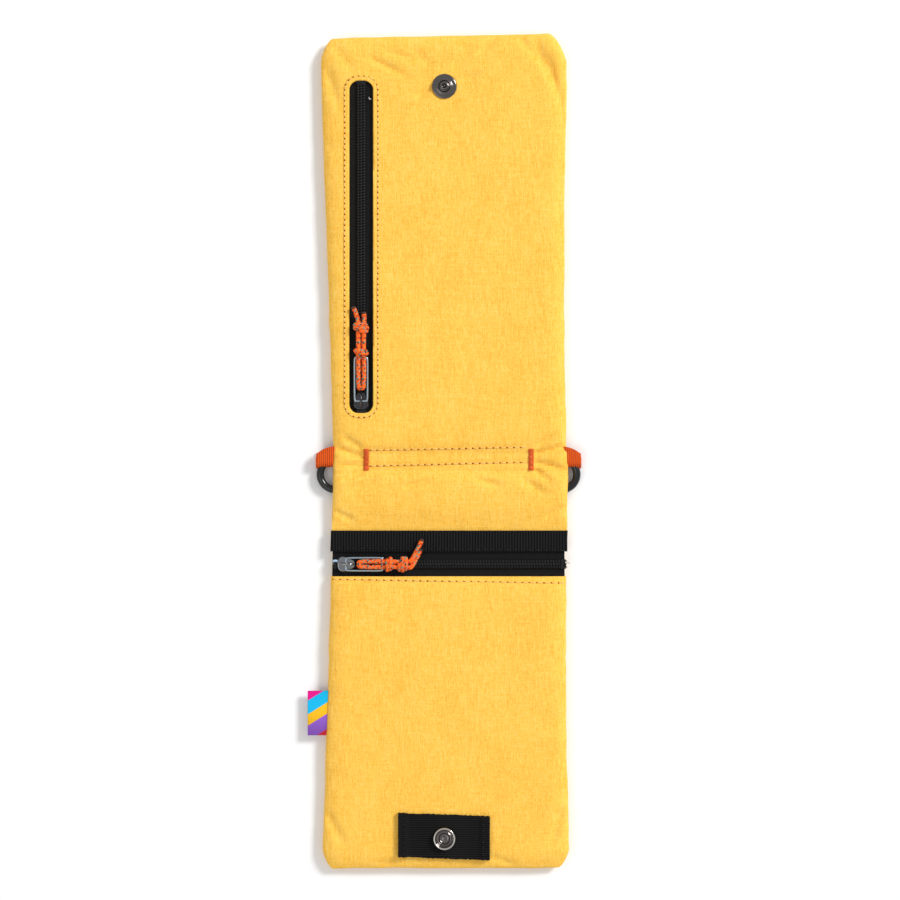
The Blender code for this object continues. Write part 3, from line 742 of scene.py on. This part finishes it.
def slot_distance(x, y):
    """How far outside the zip slot's rounded edge a point lies."""
    dx = abs(x - UPPER_ZIP_X) - (SLOT_HALF_WIDTH - SLOT_CORNER)
    dy = abs(y - SLOT_MIDDLE_Y) - (SLOT_HALF_LENGTH - SLOT_CORNER)
    return math.hypot(max(dx, 0.0), max(dy, 0.0)) - SLOT_CORNER


def pocket_top(x, y):
    """Outer cloth of the lower pouch, from its stitched top edge down."""
    top = pad_top(x, y, POCKET_TOP_Y, 12.0, 5.75)
    return top + ditch(x, y, pocket_row(x), 0.35, 0.7)


def pocket_row(x):
    return POCKET_TOP_Y - 1.3 - 0.016 * (x + 50)


def waver_end(obj):
    """Draws a pouch's far end out of line: a slow wave, and a rise to the upper pouch's right corner."""
    for vertex in obj.data.vertices:
        x, y = vertex.co.x / MM, vertex.co.y / MM
        share = smooth(abs(y), 168.0, 185.0)
        slant = 0.020 * x if y > 0 else -0.35
        vertex.co.y += MM * share * (slant + 0.45 * grain(x, math.copysign(1.0, y), 14.0, 70.0))


def cut_out(obj, cutter):
    modifier = obj.modifiers.new("cut", "BOOLEAN")
    modifier.operation = "DIFFERENCE"
    modifier.object = cutter
    apply_modifiers(obj)
    bpy.data.objects.remove(cutter)


def finish_cloth(obj):
    obj.data.polygons.foreach_set("use_smooth", [True] * len(obj.data.polygons))


def make_cloth():
    """The yellow cloth: upper pouch with half the spine, flap with the other half, and front pocket."""
    columns = columns_at(96)
    ys = stations(SPINE_CUT_Y, LENGTH_TOP, 1.15, LENGTH_TOP)
    upper = slab("upper_pouch_cloth", MATERIALS["shell"], columns, ys, inner_cloth_top, pad_bottom)
    slot = racetrack((UPPER_ZIP_X, SLOT_MIDDLE_Y), SLOT_HALF_WIDTH, SLOT_HALF_LENGTH, SLOT_CORNER)
    waver_end(upper)
    cut_out(upper, prism("slot_cutter", slot, 5.5, 14.0, MATERIALS["shell"]))
    finish_cloth(upper)
    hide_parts("upper_front_shell", "upper_back_shell", "upper_padding", "upper_pocket_lining",
                "snap_stud_back_plate")
    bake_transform(upper)

    def flap_bottom(x, y):
        return min(pad_bottom(x, y), inner_cloth_top(x, y) - 0.5) if y > -40 else pad_bottom(x, y)

    def flap_top(x, y):
        return inner_cloth_top(x, y) if y > -37 else 3.0

    ys = stations(FLAP_END_Y, SPINE_CUT_Y, 0.8)
    flap = slab("flap_cloth", MATERIALS["shell"], columns, ys, flap_top, flap_bottom)
    finish_cloth(flap)
    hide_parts("spine_front_strip", "spine_padding", "spine_back_strip", "flap_panel")
    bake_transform(flap)

    ys = stations(LENGTH_BOTTOM, POCKET_TOP_Y, 1.15, LENGTH_BOTTOM)
    pocket = slab("pocket_cloth", MATERIALS["shell"], columns, ys, pocket_top, pad_bottom)
    waver_end(pocket)
    finish_cloth(pocket)
    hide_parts("lower_front_shell", "lower_back_shell", "lower_padding", "lower_pocket_padding",
                "lower_pocket_lining", "snap_socket_back_plate")
    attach(pocket, "lower_pouch")

    def back_top(x, y):
        return pad_bottom(x, y) + 1.0

    ys = stations(POCKET_TOP_Y + 0.05, FLAP_END_Y - 0.05, 1.2)

    def inset_columns(y):
        return [x * 0.975 for x in columns(y)]

    back = slab("zip_backing_cloth", MATERIALS["shell"], inset_columns, ys, back_top, pad_bottom)
    finish_cloth(back)
    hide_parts("slip_pocket_wall")
    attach(back, "lower_pouch")
    return {"upper": upper, "pocket": pocket}


# ---------------------------------------------------------------- stitches


def resting_on(obj):
    """Height of an object's top at x and y, found with a ray straight down."""
    corners = [vertex.co.copy() for vertex in obj.data.vertices]
    tree = BVHTree.FromPolygons(corners, [tuple(face.vertices) for face in obj.data.polygons])
    down = Vector((0, 0, -1))

    def height(x, y):
        hit = tree.ray_cast(Vector((x * MM, y * MM, 0.05)), down)[0]
        return hit.z / MM if hit else SEAM_Z

    return height


def stitches(name, path, surface, body, thread, pitch, closed=False, holes=True, radius=0.24):
    """Thread that shows on top between needle holes, along a flat path over a surface."""
    marks = resample(path, pitch, closed)
    pairs = list(zip(marks, marks[1:] + marks[:1])) if closed else list(zip(marks, marks[1:]))
    gap = (1 - THREAD_SHARE) / 2
    arches = []
    for start, end in pairs:
        run = []
        for step in range(6):
            t = step / 5
            p = start.lerp(end, gap + THREAD_SHARE * t)
            lift = 0.2 * math.sin(math.pi * t) + 0.02
            run.append((p.x, p.y, surface(p.x, p.y) + lift))
        arches.append(run)
    obj = tubes(name, arches, radius, thread, sides=6)
    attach(obj, body)
    if holes:
        needle_holes(name + "_holes", [start for start, _ in pairs], surface, body)


def needle_holes(name, places, surface, body):
    """Small dark plugs where the thread goes through the cloth: painted shade inside the needle holes."""
    points, faces = [], []
    for place in places:
        base = len(points)
        height = surface(place.x, place.y) + 0.08
        for k in range(HOLE_SIDES):
            angle = 2 * math.pi * k / HOLE_SIDES
            x = place.x + HOLE_RADIUS * math.cos(angle)
            y = place.y + HOLE_RADIUS * math.sin(angle)
            points.append((x, y, height))
        points += [(x, y, z - HOLE_DEPTH) for x, y, z in points[base:]]
        low = base + HOLE_SIDES
        faces.append(tuple(base + k for k in range(HOLE_SIDES)))
        faces.append(tuple(low + k for k in reversed(range(HOLE_SIDES))))
        for k in range(HOLE_SIDES):
            following = (k + 1) % HOLE_SIDES
            faces.append((base + k, low + k, low + following, base + following))
    obj = piece(name, points, faces, MATERIALS["needle_hole_shade"])
    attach(obj, body)


LOOSE_THREADS = (
    ("zip_end_thread", "lower_pouch", "grey_thread", 0.2,
     [(54.5, -49.7, 4.9), (55.1, -49.4, 4.7), (55.8, -49.9, 4.4)]),
    ("slot_end_thread", "upper_pouch", "grey_thread", 0.2,
     [(-33.6, 157.6, 7.6), (-33.2, 156.6, 7.9), (-32.6, 156.9, 7.9)]),
    # A pale blue bead by the lower slider's nose: a painted reflection of the slider.
    ("slider_nose_reflection", "lower_pouch", "slider_reflection_paint", 0.55,
     [(-49.6, -48.9, 5.3), (-48.6, -48.6, 5.6), (-47.6, -48.8, 5.7)]),
)


def make_stitches(cloth):
    upper_top, pocket = resting_on(cloth["upper"]), resting_on(cloth["pocket"])
    track = racetrack((UPPER_ZIP_X, SLOT_MIDDLE_Y), SLOT_HALF_WIDTH + 2.05, SLOT_HALF_LENGTH + 1.9, 6.0)
    gold, black = MATERIALS["gold_thread"], MATERIALS["black_thread"]
    stitches("zip_topstitch", track, upper_top, "upper_pouch", gold, 2.4, closed=True)
    for name, row in (("upper_fold_stitch", upper_row), ("lower_fold_stitch", lower_row)):
        path = [(x, row(x)) for x in (ROW_ENDS_X[0], 0.0, ROW_ENDS_X[1])]
        stitches(name, path, upper_top, "spine", gold, 3.1)
    path = [(x, pocket_row(x)) for x in (-49.6, 0.0, 54.0)]
    stitches("pocket_topstitch", path, pocket, "lower_pouch", gold, 3.2)
    path = [(x, BAND_LOW[1] + 1.6 - 0.01 * (x + 50)) for x in (-49.0, 53.6)]
    stitches("band_stitch", path, band_top, "lower_pouch", black, 3.4, holes=False, radius=0.28)
    for side, x in (("left", -17.9), ("right", 17.2)):
        path = [(x, TAB_LOW[1] + 0.8), (x, TAB_HIGH[1] - 0.8)]
        stitches(f"tab_stitch_{side}", path, tab_top, "lower_pouch", black, 2.5, holes=False, radius=0.28)
    for name, body, material, radius, path in LOOSE_THREADS:
        end = tubes(name, [curve_through(path, 5)], radius, MATERIALS[material], sides=8)
        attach(end, body)
    for side in ("left", "right"):
        x, y, _ = node_centre(f"bartack_{side}")
        make_bartack(side, x, y, upper_top)


def make_bartack(side, x, y, surface):
    """A dense bar of thread: many short crossing runs."""
    runs = []
    count = 26
    for i in range(count):
        place = y - 4.6 + 9.2 * i / (count - 1)
        reach = 1.1 + 0.15 * math.sin(i * 2.4)
        run = []
        for step in range(6):
            t = step / 5
            px = x - reach + 2 * reach * t
            lift = 0.15 + 0.35 * math.sin(math.pi * t)
            run.append((px, place + 0.12 * math.sin(i), surface(px, place) + lift))
        runs.append(run)
    obj = tubes(f"bartack_thread_{side}", runs, 0.2, MATERIALS["orange_thread"], sides=6)
    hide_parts(f"bartack_{side}")
    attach(obj, "spine")


# ---------------------------------------------------------------- band, tab, label and webbing

TAB_LOW, TAB_HIGH = node_box("snap_tab")
TAB_MIDDLE_Y = node_centre("snap_tab")[1]


def band_top(x, y):
    """Grosgrain band: ribs across it, edges drawn down a little and sides turned over the seams."""
    left, right = outline(y)
    edge = rounding(min(x - left, right - x) + 1.0, 2.6)
    rib = 0.13 * math.sin(2 * math.pi * x / 1.25)
    sag = 0.25 * grain(x, y, 24.0, 3.0)
    return SEAM_Z + 0.4 + (5.65 + sag - SEAM_Z - 0.4) * edge + rib


def tab_top(x, y):
    """Webbing tab: fine ribs, and thicker where its sides are folded under."""
    folded = smooth(abs(x + 0.2), 15.6, 16.6)
    rib = 0.08 * math.sin(2 * math.pi * y / 1.0)
    return TAB_HIGH[2] + 0.1 + 0.55 * folded + rib + 0.12 * grain(x, y, 11.0, 40.0)


def make_band():
    """The black band over the upper zip tape."""
    low_y, high_y = BAND_LOW[1] + 0.1, BAND_HIGH[1]

    def columns(y):
        left, right = outline(y)
        left, right = left - BAND_OVERHANG_LEFT, right + BAND_OVERHANG_RIGHT
        return [left + (right - left) * i / 420 for i in range(421)]

    def bottom(x, y):
        return band_top(x, y) - 0.7

    ys = [low_y + (high_y - low_y) * i / 10 for i in range(11)]
    band = slab("grosgrain_band_cloth", MATERIALS["band"], columns, ys, band_top, bottom)
    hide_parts("grosgrain_band")
    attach(band, "lower_pouch")


def make_tab():
    """The webbing tab that carries the socket: its ends are a little ragged and it sits slightly askew."""
    xs = [TAB_LOW[0] + (TAB_HIGH[0] - TAB_LOW[0]) * i / 90 for i in range(91)]
    ys = [TAB_LOW[1] + (TAB_HIGH[1] - TAB_LOW[1]) * i / 120 for i in range(121)]

    def bottom(x, y):
        return pocket_top(x, y) - 0.3

    tab = slab("snap_tab_webbing", MATERIALS["tab"], lambda y: xs, ys, tab_top, bottom)
    for vertex in tab.data.vertices:
        x, off = vertex.co.x / MM, vertex.co.y / MM - TAB_MIDDLE_Y
        ragged = 0.35 * grain(x, 0.0, 1.1, 60.0) + 0.5 * (grain(x, 0.0, 9.0, 61.0) - 0.3)
        near_end = math.copysign(smooth(abs(off), 7.5, 9.9), off)
        vertex.co.y += MM * (ragged * near_end - 0.036 * x)
    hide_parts("snap_tab")
    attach(tab, "lower_pouch")


def make_label():
    """A folded woven label: two layers joined by a round fold on the outer edge."""
    low, high = node_box("side_label")
    thickness, gap, base = 0.28, 0.22, 4.15
    section = [(high[0] + 2.0, base)]
    for x in np.linspace(high[0], low[0] + 0.6, 9):
        section.append((x, base + 0.25 * math.sin((high[0] - x) / 4.0)))
    fold = arc((low[0] + 0.55, section[-1][1] + 0.25), 0.25, 270, 90, 6)
    upper = [(x, z + thickness + gap) for x, z in reversed(section)]
    line = section + fold + upper
    normals = []
    for i in range(len(line)):
        a, b = line[max(i - 1, 0)], line[min(i + 1, len(line) - 1)]
        length = math.hypot(b[0] - a[0], b[1] - a[1])
        normals.append(((b[1] - a[1]) / length * thickness / 2, -(b[0] - a[0]) / length * thickness / 2))
    ring = [(x + nx, z + nz) for (x, z), (nx, nz) in zip(line, normals)]
    ring += [(x - nx, z - nz) for (x, z), (nx, nz) in reversed(list(zip(line, normals)))]
    turn = Matrix(((1, 0, 0, 0), (0, 0, 1, 0), (0, 1, 0, 0), (0, 0, 0, 1)))
    label = prism("side_label_cloth", ring, low[1], high[1], MATERIALS["label"], turn)
    label.data.polygons.foreach_set("use_smooth", [len(p.vertices) < 6 for p in label.data.polygons])
    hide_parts("side_label")
    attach(label, "lower_pouch")


def make_webbing():
    """The strip across the back of the spine, and the loop that holds each ring."""
    low, high = node_box("spine_webbing")
    xs = [-37.5 + 75 * i / 120 for i in range(121)]
    ys = [low[1] - 1.2 + (high[1] - low[1] + 2.0) * i / 12 for i in range(13)]

    def top(x, y):
        return pad_bottom(x, y) + 0.25

    def bottom(x, y):
        return max(pad_bottom(x, y) - 0.85, 0.02)

    strip = slab("spine_webbing_cloth", MATERIALS["orange"], lambda y: xs, ys, top, bottom)
    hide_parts("spine_webbing")
    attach(strip, "spine")
    for side, sign in (("left", -1), ("right", 1)):
        make_loop(side, sign)
        make_ring(side)


def make_loop(side, sign):
    """Webbing that comes out under the cloth, bends over the ring and goes back below it."""
    low, high = node_box(f"webbing_loop_{side}")
    outer = high[0] if sign > 0 else low[0]
    inner = outer - sign * LOOP_LENGTH
    rows, columns = 40, 26
    shells = {1: [], -1: []}
    for shell_side, points in shells.items():
        for j in range(rows + 1):
            t = j / rows
            for i in range(columns + 1):
                u = i / columns
                line_y, line_z = loop_section(t, u)
                normal_y, normal_z = loop_normal(t, u)
                reach = LOOP_HALF_THICKNESS * shell_side
                y = line_y + normal_y * reach - LOOP_LEAN * u**2 - loop_corner(t, u)
                points.append((inner + (outer - inner) * u, y, line_z + normal_z * reach))
    name = f"webbing_loop_cloth_{side}"
    loop = closed_sheet(name, shells[1], shells[-1], rows + 1, columns + 1, MATERIALS["orange"])
    mesh = bmesh.new()
    mesh.from_mesh(loop.data)
    bmesh.ops.recalc_face_normals(mesh, faces=mesh.faces)
    mesh.to_mesh(loop.data)
    mesh.free()
    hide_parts(f"webbing_loop_{side}")
    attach(loop, "spine")


def loop_corner(t, u):
    """How far the outer upper corner of the loop is rounded off."""
    turn_in = min(max((u - 0.66) / 0.34, 0.0), 1.0)
    return 4.2 * (1 - math.sqrt(1 - turn_in**2)) * max(1 - t / 0.45, 0.0)


def loop_section(t, u):
    """Place on the loop's side section: top layer, bend round the ring's bar, short bottom layer.

    t runs along the section and u outwards; the hidden inner part lies flatter.
    """
    bar_y, bar_z, bend = -3.35, 2.9, 2.4
    top_run, turn_run, bottom_run = 6.25, math.pi * bend, 4.0
    hidden = 1 - smooth(u, 0.35, 0.75)
    sink = 3.3 * hidden
    run = t * (top_run + turn_run + bottom_run)
    if run < top_run:
        return 2.9 - run, bar_z + bend - sink
    if run < top_run + turn_run:
        angle = math.pi / 2 + (run - top_run) / bend
        rise = math.sin(angle)
        shrink = 1 - 0.62 * hidden if rise > 0 else 1
        lowered = sink * 0.5 * (1 + rise) * 0.35
        return bar_y + bend * math.cos(angle), bar_z + bend * rise * shrink - lowered
    return bar_y + (run - top_run - turn_run), bar_z - bend


def loop_normal(t, u):
    """Direction across the loop's webbing at a place on its section."""
    y0, z0 = loop_section(max(t - 0.01, 0), u)
    y1, z1 = loop_section(min(t + 0.01, 1), u)
    length = max(math.hypot(y1 - y0, z1 - z0), 1e-6)
    return (z1 - z0) / length, -(y1 - y0) / length


def make_ring(side):
    """The round ring that a strap hooks to."""
    low, high = node_box(f"strap_ring_{side}")
    centre = node_centre(f"strap_ring_{side}")
    wire = (high[2] - low[2]) / 2
    radius = (high[0] - low[0]) / 2 - wire
    path = [(x, y, centre[2]) for x, y in arc(centre[:2], radius, 0, 360, 72)[:-1]]
    ring = tubes(f"strap_ring_gloss_{side}", [path], wire, MATERIALS["ring"], sides=24, closed=True)
    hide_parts(f"strap_ring_{side}")
    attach(ring, f"{side}_ring")


# ---------------------------------------------------------------- zips


ZIP_AXIS = {"upper": 1, "lower": 0}


def chain_frame(prefix):
    """Moves a zip's own axes, X along it and Z up, to its place in millimetres."""
    if prefix == "upper":
        return Matrix.Translation((UPPER_ZIP_X, 0, 0)) @ Matrix.Rotation(math.pi / 2, 4, "Z")
    return Matrix.Translation((0, LOWER_ZIP_Y, 0))


def make_chain(prefix, start, end, base):
    """Two rows of coil loops that meet along the middle, and the cord they are sewn with."""
    move = chain_frame(prefix)
    pitch, radius = 1.25, 0.44
    rows = []
    count = int((end - start) / pitch)
    for i in range(count):
        for sign, shift in ((1, 0.0), (-1, 0.5)):
            u = start + (i + shift + 0.25) * pitch
            run = []
            for t in (0.0, 0.12, 0.3, 0.55, 0.8, 1.0):
                v = sign * (-0.35 + 2.35 * t)
                height = base + 0.35 + 0.42 * math.sin(math.pi * min(0.18 + t * 0.82, 1.0))
                run.append(move @ Vector((u + 0.28 * t * sign, v, height)))
            rows.append(run)
    coil = tubes(f"{prefix}_coil_loops", rows, radius, MATERIALS["coil"], sides=7)
    places = [start + (end - start) * i / 40 for i in range(41)]
    core = [[move @ Vector((u, sign * 1.35, base + 0.95)) for u in places] for sign in (-1, 1)]
    cords = tubes(f"{prefix}_coil_cords", core, 0.26, MATERIALS["black_thread"], sides=6)
    for obj in (coil, cords):
        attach(obj, f"{prefix}_pouch")
    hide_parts(f"{prefix}_zip_coil")


def make_slider(prefix):
    """Slider body with shoulders and a narrower tail, its side flanges and the bridge."""
    low, high = node_box(f"{prefix}_slider_body")
    bridge_top = node_box(f"{prefix}_slider_bridge")[1][2]
    along = ZIP_AXIS[prefix]
    move = chain_frame(prefix) @ Matrix.Translation(((low[along] + high[along]) / 2, 0, 0))
    plate_top = high[2]
    half = (high[along] - low[along]) / 2
    metal = MATERIALS["dark_nickel" if prefix == "upper" else "nickel"]
    side = [(half, 0.9), (half - 1.0, 1.9), (half - 2.6, 2.4), (0.2, 3.0), (-1.7, 3.3), (0.8 - half, 2.7),
            (-half, 1.3)]
    round_trip = [(u, v, 0) for u, v in side] + [(u, -v, 0) for u, v in side[::-1]]
    shape = [(p.x, p.y) for p in reversed(curve_through(round_trip, 4, closed=True))]
    body = prism(f"{prefix}_slider_plate", shape, plate_top - 0.85, plate_top, metal, move)
    bevelled(body, 0.28)
    parts = [body]
    rail = [(1.0 - half, 2.35), (half - 3.2, 2.35), (half - 3.2, 2.75), (1.6 - half, 3.1), (1.0 - half, 2.7)]
    for sign, name in ((1, "left"), (-1, "right")):
        shape = [(u, v * sign) for u, v in rail][::sign]
        flange = prism(f"{prefix}_slider_rail_{name}", shape, low[2], plate_top - 0.6, metal, move)
        parts.append(bevelled(flange, 0.15))
    arch = [(-2.5, plate_top - 0.1), (-2.2, plate_top + 0.9), (-0.8, bridge_top - 0.25),
            (1.2, bridge_top - 0.2), (2.6, plate_top + 0.9), (2.9, plate_top - 0.1)]
    arch_line = curve_through([(u, 0, z) for u, z in arch], 6)
    bridge = tubes(f"{prefix}_slider_arch", [[move @ p for p in arch_line]], 0.62, metal, sides=12)
    parts.append(bridge)
    for obj in parts:
        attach(obj, f"{prefix}_slider")
    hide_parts(f"{prefix}_slider_body")
    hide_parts(f"{prefix}_slider_bridge")


def make_pull(prefix):
    """Wire loop, doubled cord with a wrap and a knot, and its two tails with melted ends."""
    joint = joint_place(f"{prefix}_pull_swing")
    along = ZIP_AXIS[prefix]
    move = chain_frame(prefix) @ Matrix.Translation((joint[along], 0, 0))
    z = joint[2]
    span = {}
    for part in ("wire", "cord", "wrap", "knot", "tails"):
        span[part] = [corner[along] - joint[along] for corner in node_box(f"{prefix}_pull_{part}")]
    knot_z = node_centre(f"{prefix}_pull_knot")[2]
    wire = wire_line(span["wire"][1] - 0.4, z)
    wire_obj = tubes(f"{prefix}_wire_loop", [[move @ p for p in wire]], WIRE_RADIUS, MATERIALS["wire"], 12,
                     closed=True)
    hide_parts(f"{prefix}_pull_wire")
    start, wrap, knot, tail = span["cord"][0] + 1.0, span["wrap"], span["knot"], span["tails"][1] - 1.0
    tips_at = {"upper": ((tail, 3.2), (tail - 2.3, -1.3)), "lower": ((tail, 10.6), (tail - 0.6, 6.3))}[prefix]
    strands = []
    for sign, tip in zip((1, -1), tips_at):
        route = cord_route(sign, tip, start, wrap, knot, z, knot_z)
        strands.append([move @ p for p in curve_through(route, 8)])
    cord = tubes(f"{prefix}_cord_strands", strands, CORD_RADIUS, MATERIALS["cord"], sides=14)
    turns = [knot_turns(wrap[0] + 0.9, wrap[1] - 0.9, 2.55, 1.45, 1.6, 0.0, move, knot_z),
             knot_turns(knot[0] + 0.9, knot[1] - 0.9, 2.75, 1.5, 2.6, 0.9, move, knot_z)]
    wraps = tubes(f"{prefix}_cord_turns", turns, 0.98, MATERIALS["cord"], sides=14)
    tips = []
    for strand in strands:
        step = (strand[-1] - strand[-2]).normalized()
        tips.append([strand[-1] + step * reach for reach in (-0.3, 0.15, 0.5, 0.75)])
    ends = tubes(f"{prefix}_cord_ends", tips, melted_radius, MATERIALS["burnt"], 14)
    covered = [f"{prefix}_pull_{part}" for part in ("cord", "wrap", "knot", "tails")]
    covered += ["upper_pull_neck"] if prefix == "upper" else []
    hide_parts(*covered)
    for obj in (wire_obj, cord, wraps, ends):
        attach(obj, f"{prefix}_pull")


def wire_line(end, z):
    """The pull's wire: a long rounded rectangle from the hinge to the given end."""
    side = [(0, 2.0), (0.9, 2.75), (end / 2, 2.85), (end - 0.9, 2.8), (end, 2.0)]
    outline_points = [(0, 0)] + side + [(end, 0)] + [(u, -v) for u, v in reversed(side)]
    return curve_through([(u, v, z) for u, v in outline_points], 5, closed=True)


def cord_route(sign, tip, start, wrap, knot, z, knot_z):
    """One half of the doubled cord, from its bend through the wrap and the knot to its tip."""
    tip_u, tip_v = tip
    return [
        (start, 0.0, z),
        (start + 0.5, sign * 0.85, z),
        (start + 3, sign * 1.2, z + 0.1),
        (wrap[0] - 1.5, sign * 1.25, z + 0.15),
        (wrap[0] + 1.0, sign * 1.1, knot_z),
        (wrap[1] + 0.5, sign * 1.15, knot_z),
        (knot[0] - 0.3, sign * 1.2, knot_z),
        (knot[0] + 2.0, sign * 1.0, knot_z),
        (knot[1] + 0.5, sign * 1.4, knot_z - 0.1),
        ((knot[1] + tip_u) / 2 + 0.6, (sign * 1.4 + tip_v) / 2, knot_z - 0.3),
        (tip_u, tip_v, knot_z - 0.2),
    ]


def melted_radius(t):
    """A cord's melted end: full width at first, then rounded off."""
    return 1.1 * math.sqrt(max(1.02 - t**3, 0.05))


def knot_turns(low, high, half_width, half_height, turns, phase, move, z):
    """A flattened helix of cord round the strands, its ends tucked in."""
    path = []
    steps = int(turns * 16)
    for i in range(steps + 1):
        t = i / steps
        angle = 2 * math.pi * turns * t + phase
        tuck = 0.55 + 0.45 * max(math.sin(math.pi * t), 0.0) ** 0.4
        u = low + (high - low) * t + 0.35 * math.cos(angle)
        v = half_width * tuck * math.cos(angle)
        rise = half_height * tuck * math.sin(angle) * 0.9
        path.append(move @ Vector((u, v, z + rise)))
    return path


def make_zips():
    upper_base = node_box("upper_zip_tape_left")[1][2]
    lower_base = node_box("lower_zip_tape_upper")[1][2]
    make_chain("upper", SLOT_LOW_Y - 2.0, SLOT_HIGH_Y + 2.0, upper_base)
    make_chain("lower", *LOWER_CHAIN_ENDS, lower_base)
    for prefix in ("upper", "lower"):
        make_slider(prefix)
        make_pull(prefix)


# ---------------------------------------------------------------- press stud and socket


def make_snaps():
    """The stud on the upper pouch, and the socket on the tab: its rim in a paler copy of the metal, a painted
    highlight, round a dark gunmetal cup.
    """
    low, high = node_box("snap_stud")
    base, top = low[2], high[2]
    flange = ((0, 0), (5.3, 0), (5.5, 0.12), (5.45, 0.3), (4.9, 0.5), (3.9, 0.42))
    ring = ((3.4, 0.56), (3.2, 0.82), (2.9, 0.88), (2.6, 0.82), (2.35, 0.55), (1.8, 0.55))
    post = ((1.6, 1.4), (1.72, 2.2), (1.78, 2.6))
    stud = [(radius, base + rise) for radius, rise in flange + ring + post]
    stud += [(1.6, top - 0.15), (1.3, top), (1.0, top - 0.1), (0.9, base + 1.2), (0, base + 1.2)]
    stud_obj = turned("press_stud", stud, node_centre("snap_stud"), MATERIALS["gunmetal"])
    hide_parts("snap_stud")
    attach(stud_obj, "upper_pouch")
    low, high = node_box("snap_socket")
    base, top = low[2], high[2]
    # The rim's paler metal is a painted highlight on the socket.
    rim = [(4.0, base), (4.8, base), (5.0, base + 0.3), (5.0, base + 1.7), (4.85, base + 2.15), (4.55, top),
           (4.2, top - 0.1), (4.05, top - 0.4), (4.0, base + 1.0), (4.0, base)]
    rim_obj = turned("press_socket", rim, node_centre("snap_socket"), MATERIALS["snap_rim_highlight"])
    cup = [(0, base + 0.5), (0.4, base + 0.46), (0.7, base + 0.24), (2.4, base + 0.22), (2.5, top - 0.7),
           (2.75, top - 0.45), (3.1, top - 0.55), (3.4, top - 1.0), (3.98, top - 0.9), (3.98, base + 0.1),
           (0, base + 0.1)]
    cup_obj = turned("press_socket_cup", cup, node_centre("snap_socket"), MATERIALS["gunmetal"])
    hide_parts("snap_socket")
    for obj in (rim_obj, cup_obj):
        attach(obj, "lower_pouch")


def repaint_kept_nodes():
    """CAD nodes that stay in view or inside get their full materials."""
    kept = {"zip_tape": "tape", "stop": "coil", "lining": "lining", "blade": "nickel", "padding": "foam"}
    for name, obj in frame["nodes"].items():
        for word, material in kept.items():
            if word in name:
                for slot in obj.material_slots:
                    slot.material = MATERIALS[material]


# ---------------------------------------------------------------- stage


FLOOR_REACH = 1500
FLOOR_Z = -0.02
WORLD_STRENGTH = 0.60
# Each light: name, place in metres, size in metres and power in watts.
LIGHTS = (("key", (2.2, 1.5, 2.1), 0.9, 87.0), ("fill", (-0.8, -0.6, 1.6), 1.2, 5.0))
CAMERA_PLACE = (2.5, 0.7, 1257.0)
CAMERA_LENS = 112.4


def make_stage():
    """Pale floor, even light from all round, two soft lamps and a camera straight above."""
    corners = [(FLOOR_REACH * a, FLOOR_REACH * b, FLOOR_Z) for a, b in ((-1, -1), (1, -1), (1, 1), (-1, 1))]
    paint = plain("floor", (0.93, 0.93, 0.93), 0.8, variation=0.005, grain_mm=60.0)
    piece("floor", corners, [(0, 1, 2, 3)], paint)
    world = bpy.data.worlds.new("studio")
    world.use_nodes = True
    background = world.node_tree.nodes["Background"]
    background.inputs["Color"].default_value = (1.0, 1.0, 1.0, 1.0)
    background.inputs["Strength"].default_value = WORLD_STRENGTH
    scene = bpy.context.scene
    scene.world = world
    for name, place, size, power in LIGHTS:
        data = bpy.data.lights.new(name, "AREA")
        data.size = size
        data.energy = power
        light = bpy.data.objects.new(name, data)
        light.location = place
        light.rotation_euler = (-Vector(place)).to_track_quat("-Z", "Y").to_euler()
        scene.collection.objects.link(light)
    camera_data = bpy.data.cameras.new("camera")
    camera_data.lens = CAMERA_LENS
    camera = bpy.data.objects.new("camera", camera_data)
    camera.location = [value * MM for value in CAMERA_PLACE]
    scene.collection.objects.link(camera)
    scene.camera = camera
    scene.view_settings.view_transform = "Standard"


make_stage()
cloth = make_cloth()
make_band()
make_tab()
make_label()
make_webbing()
make_zips()
make_snaps()
make_stitches(cloth)
repaint_kept_nodes()
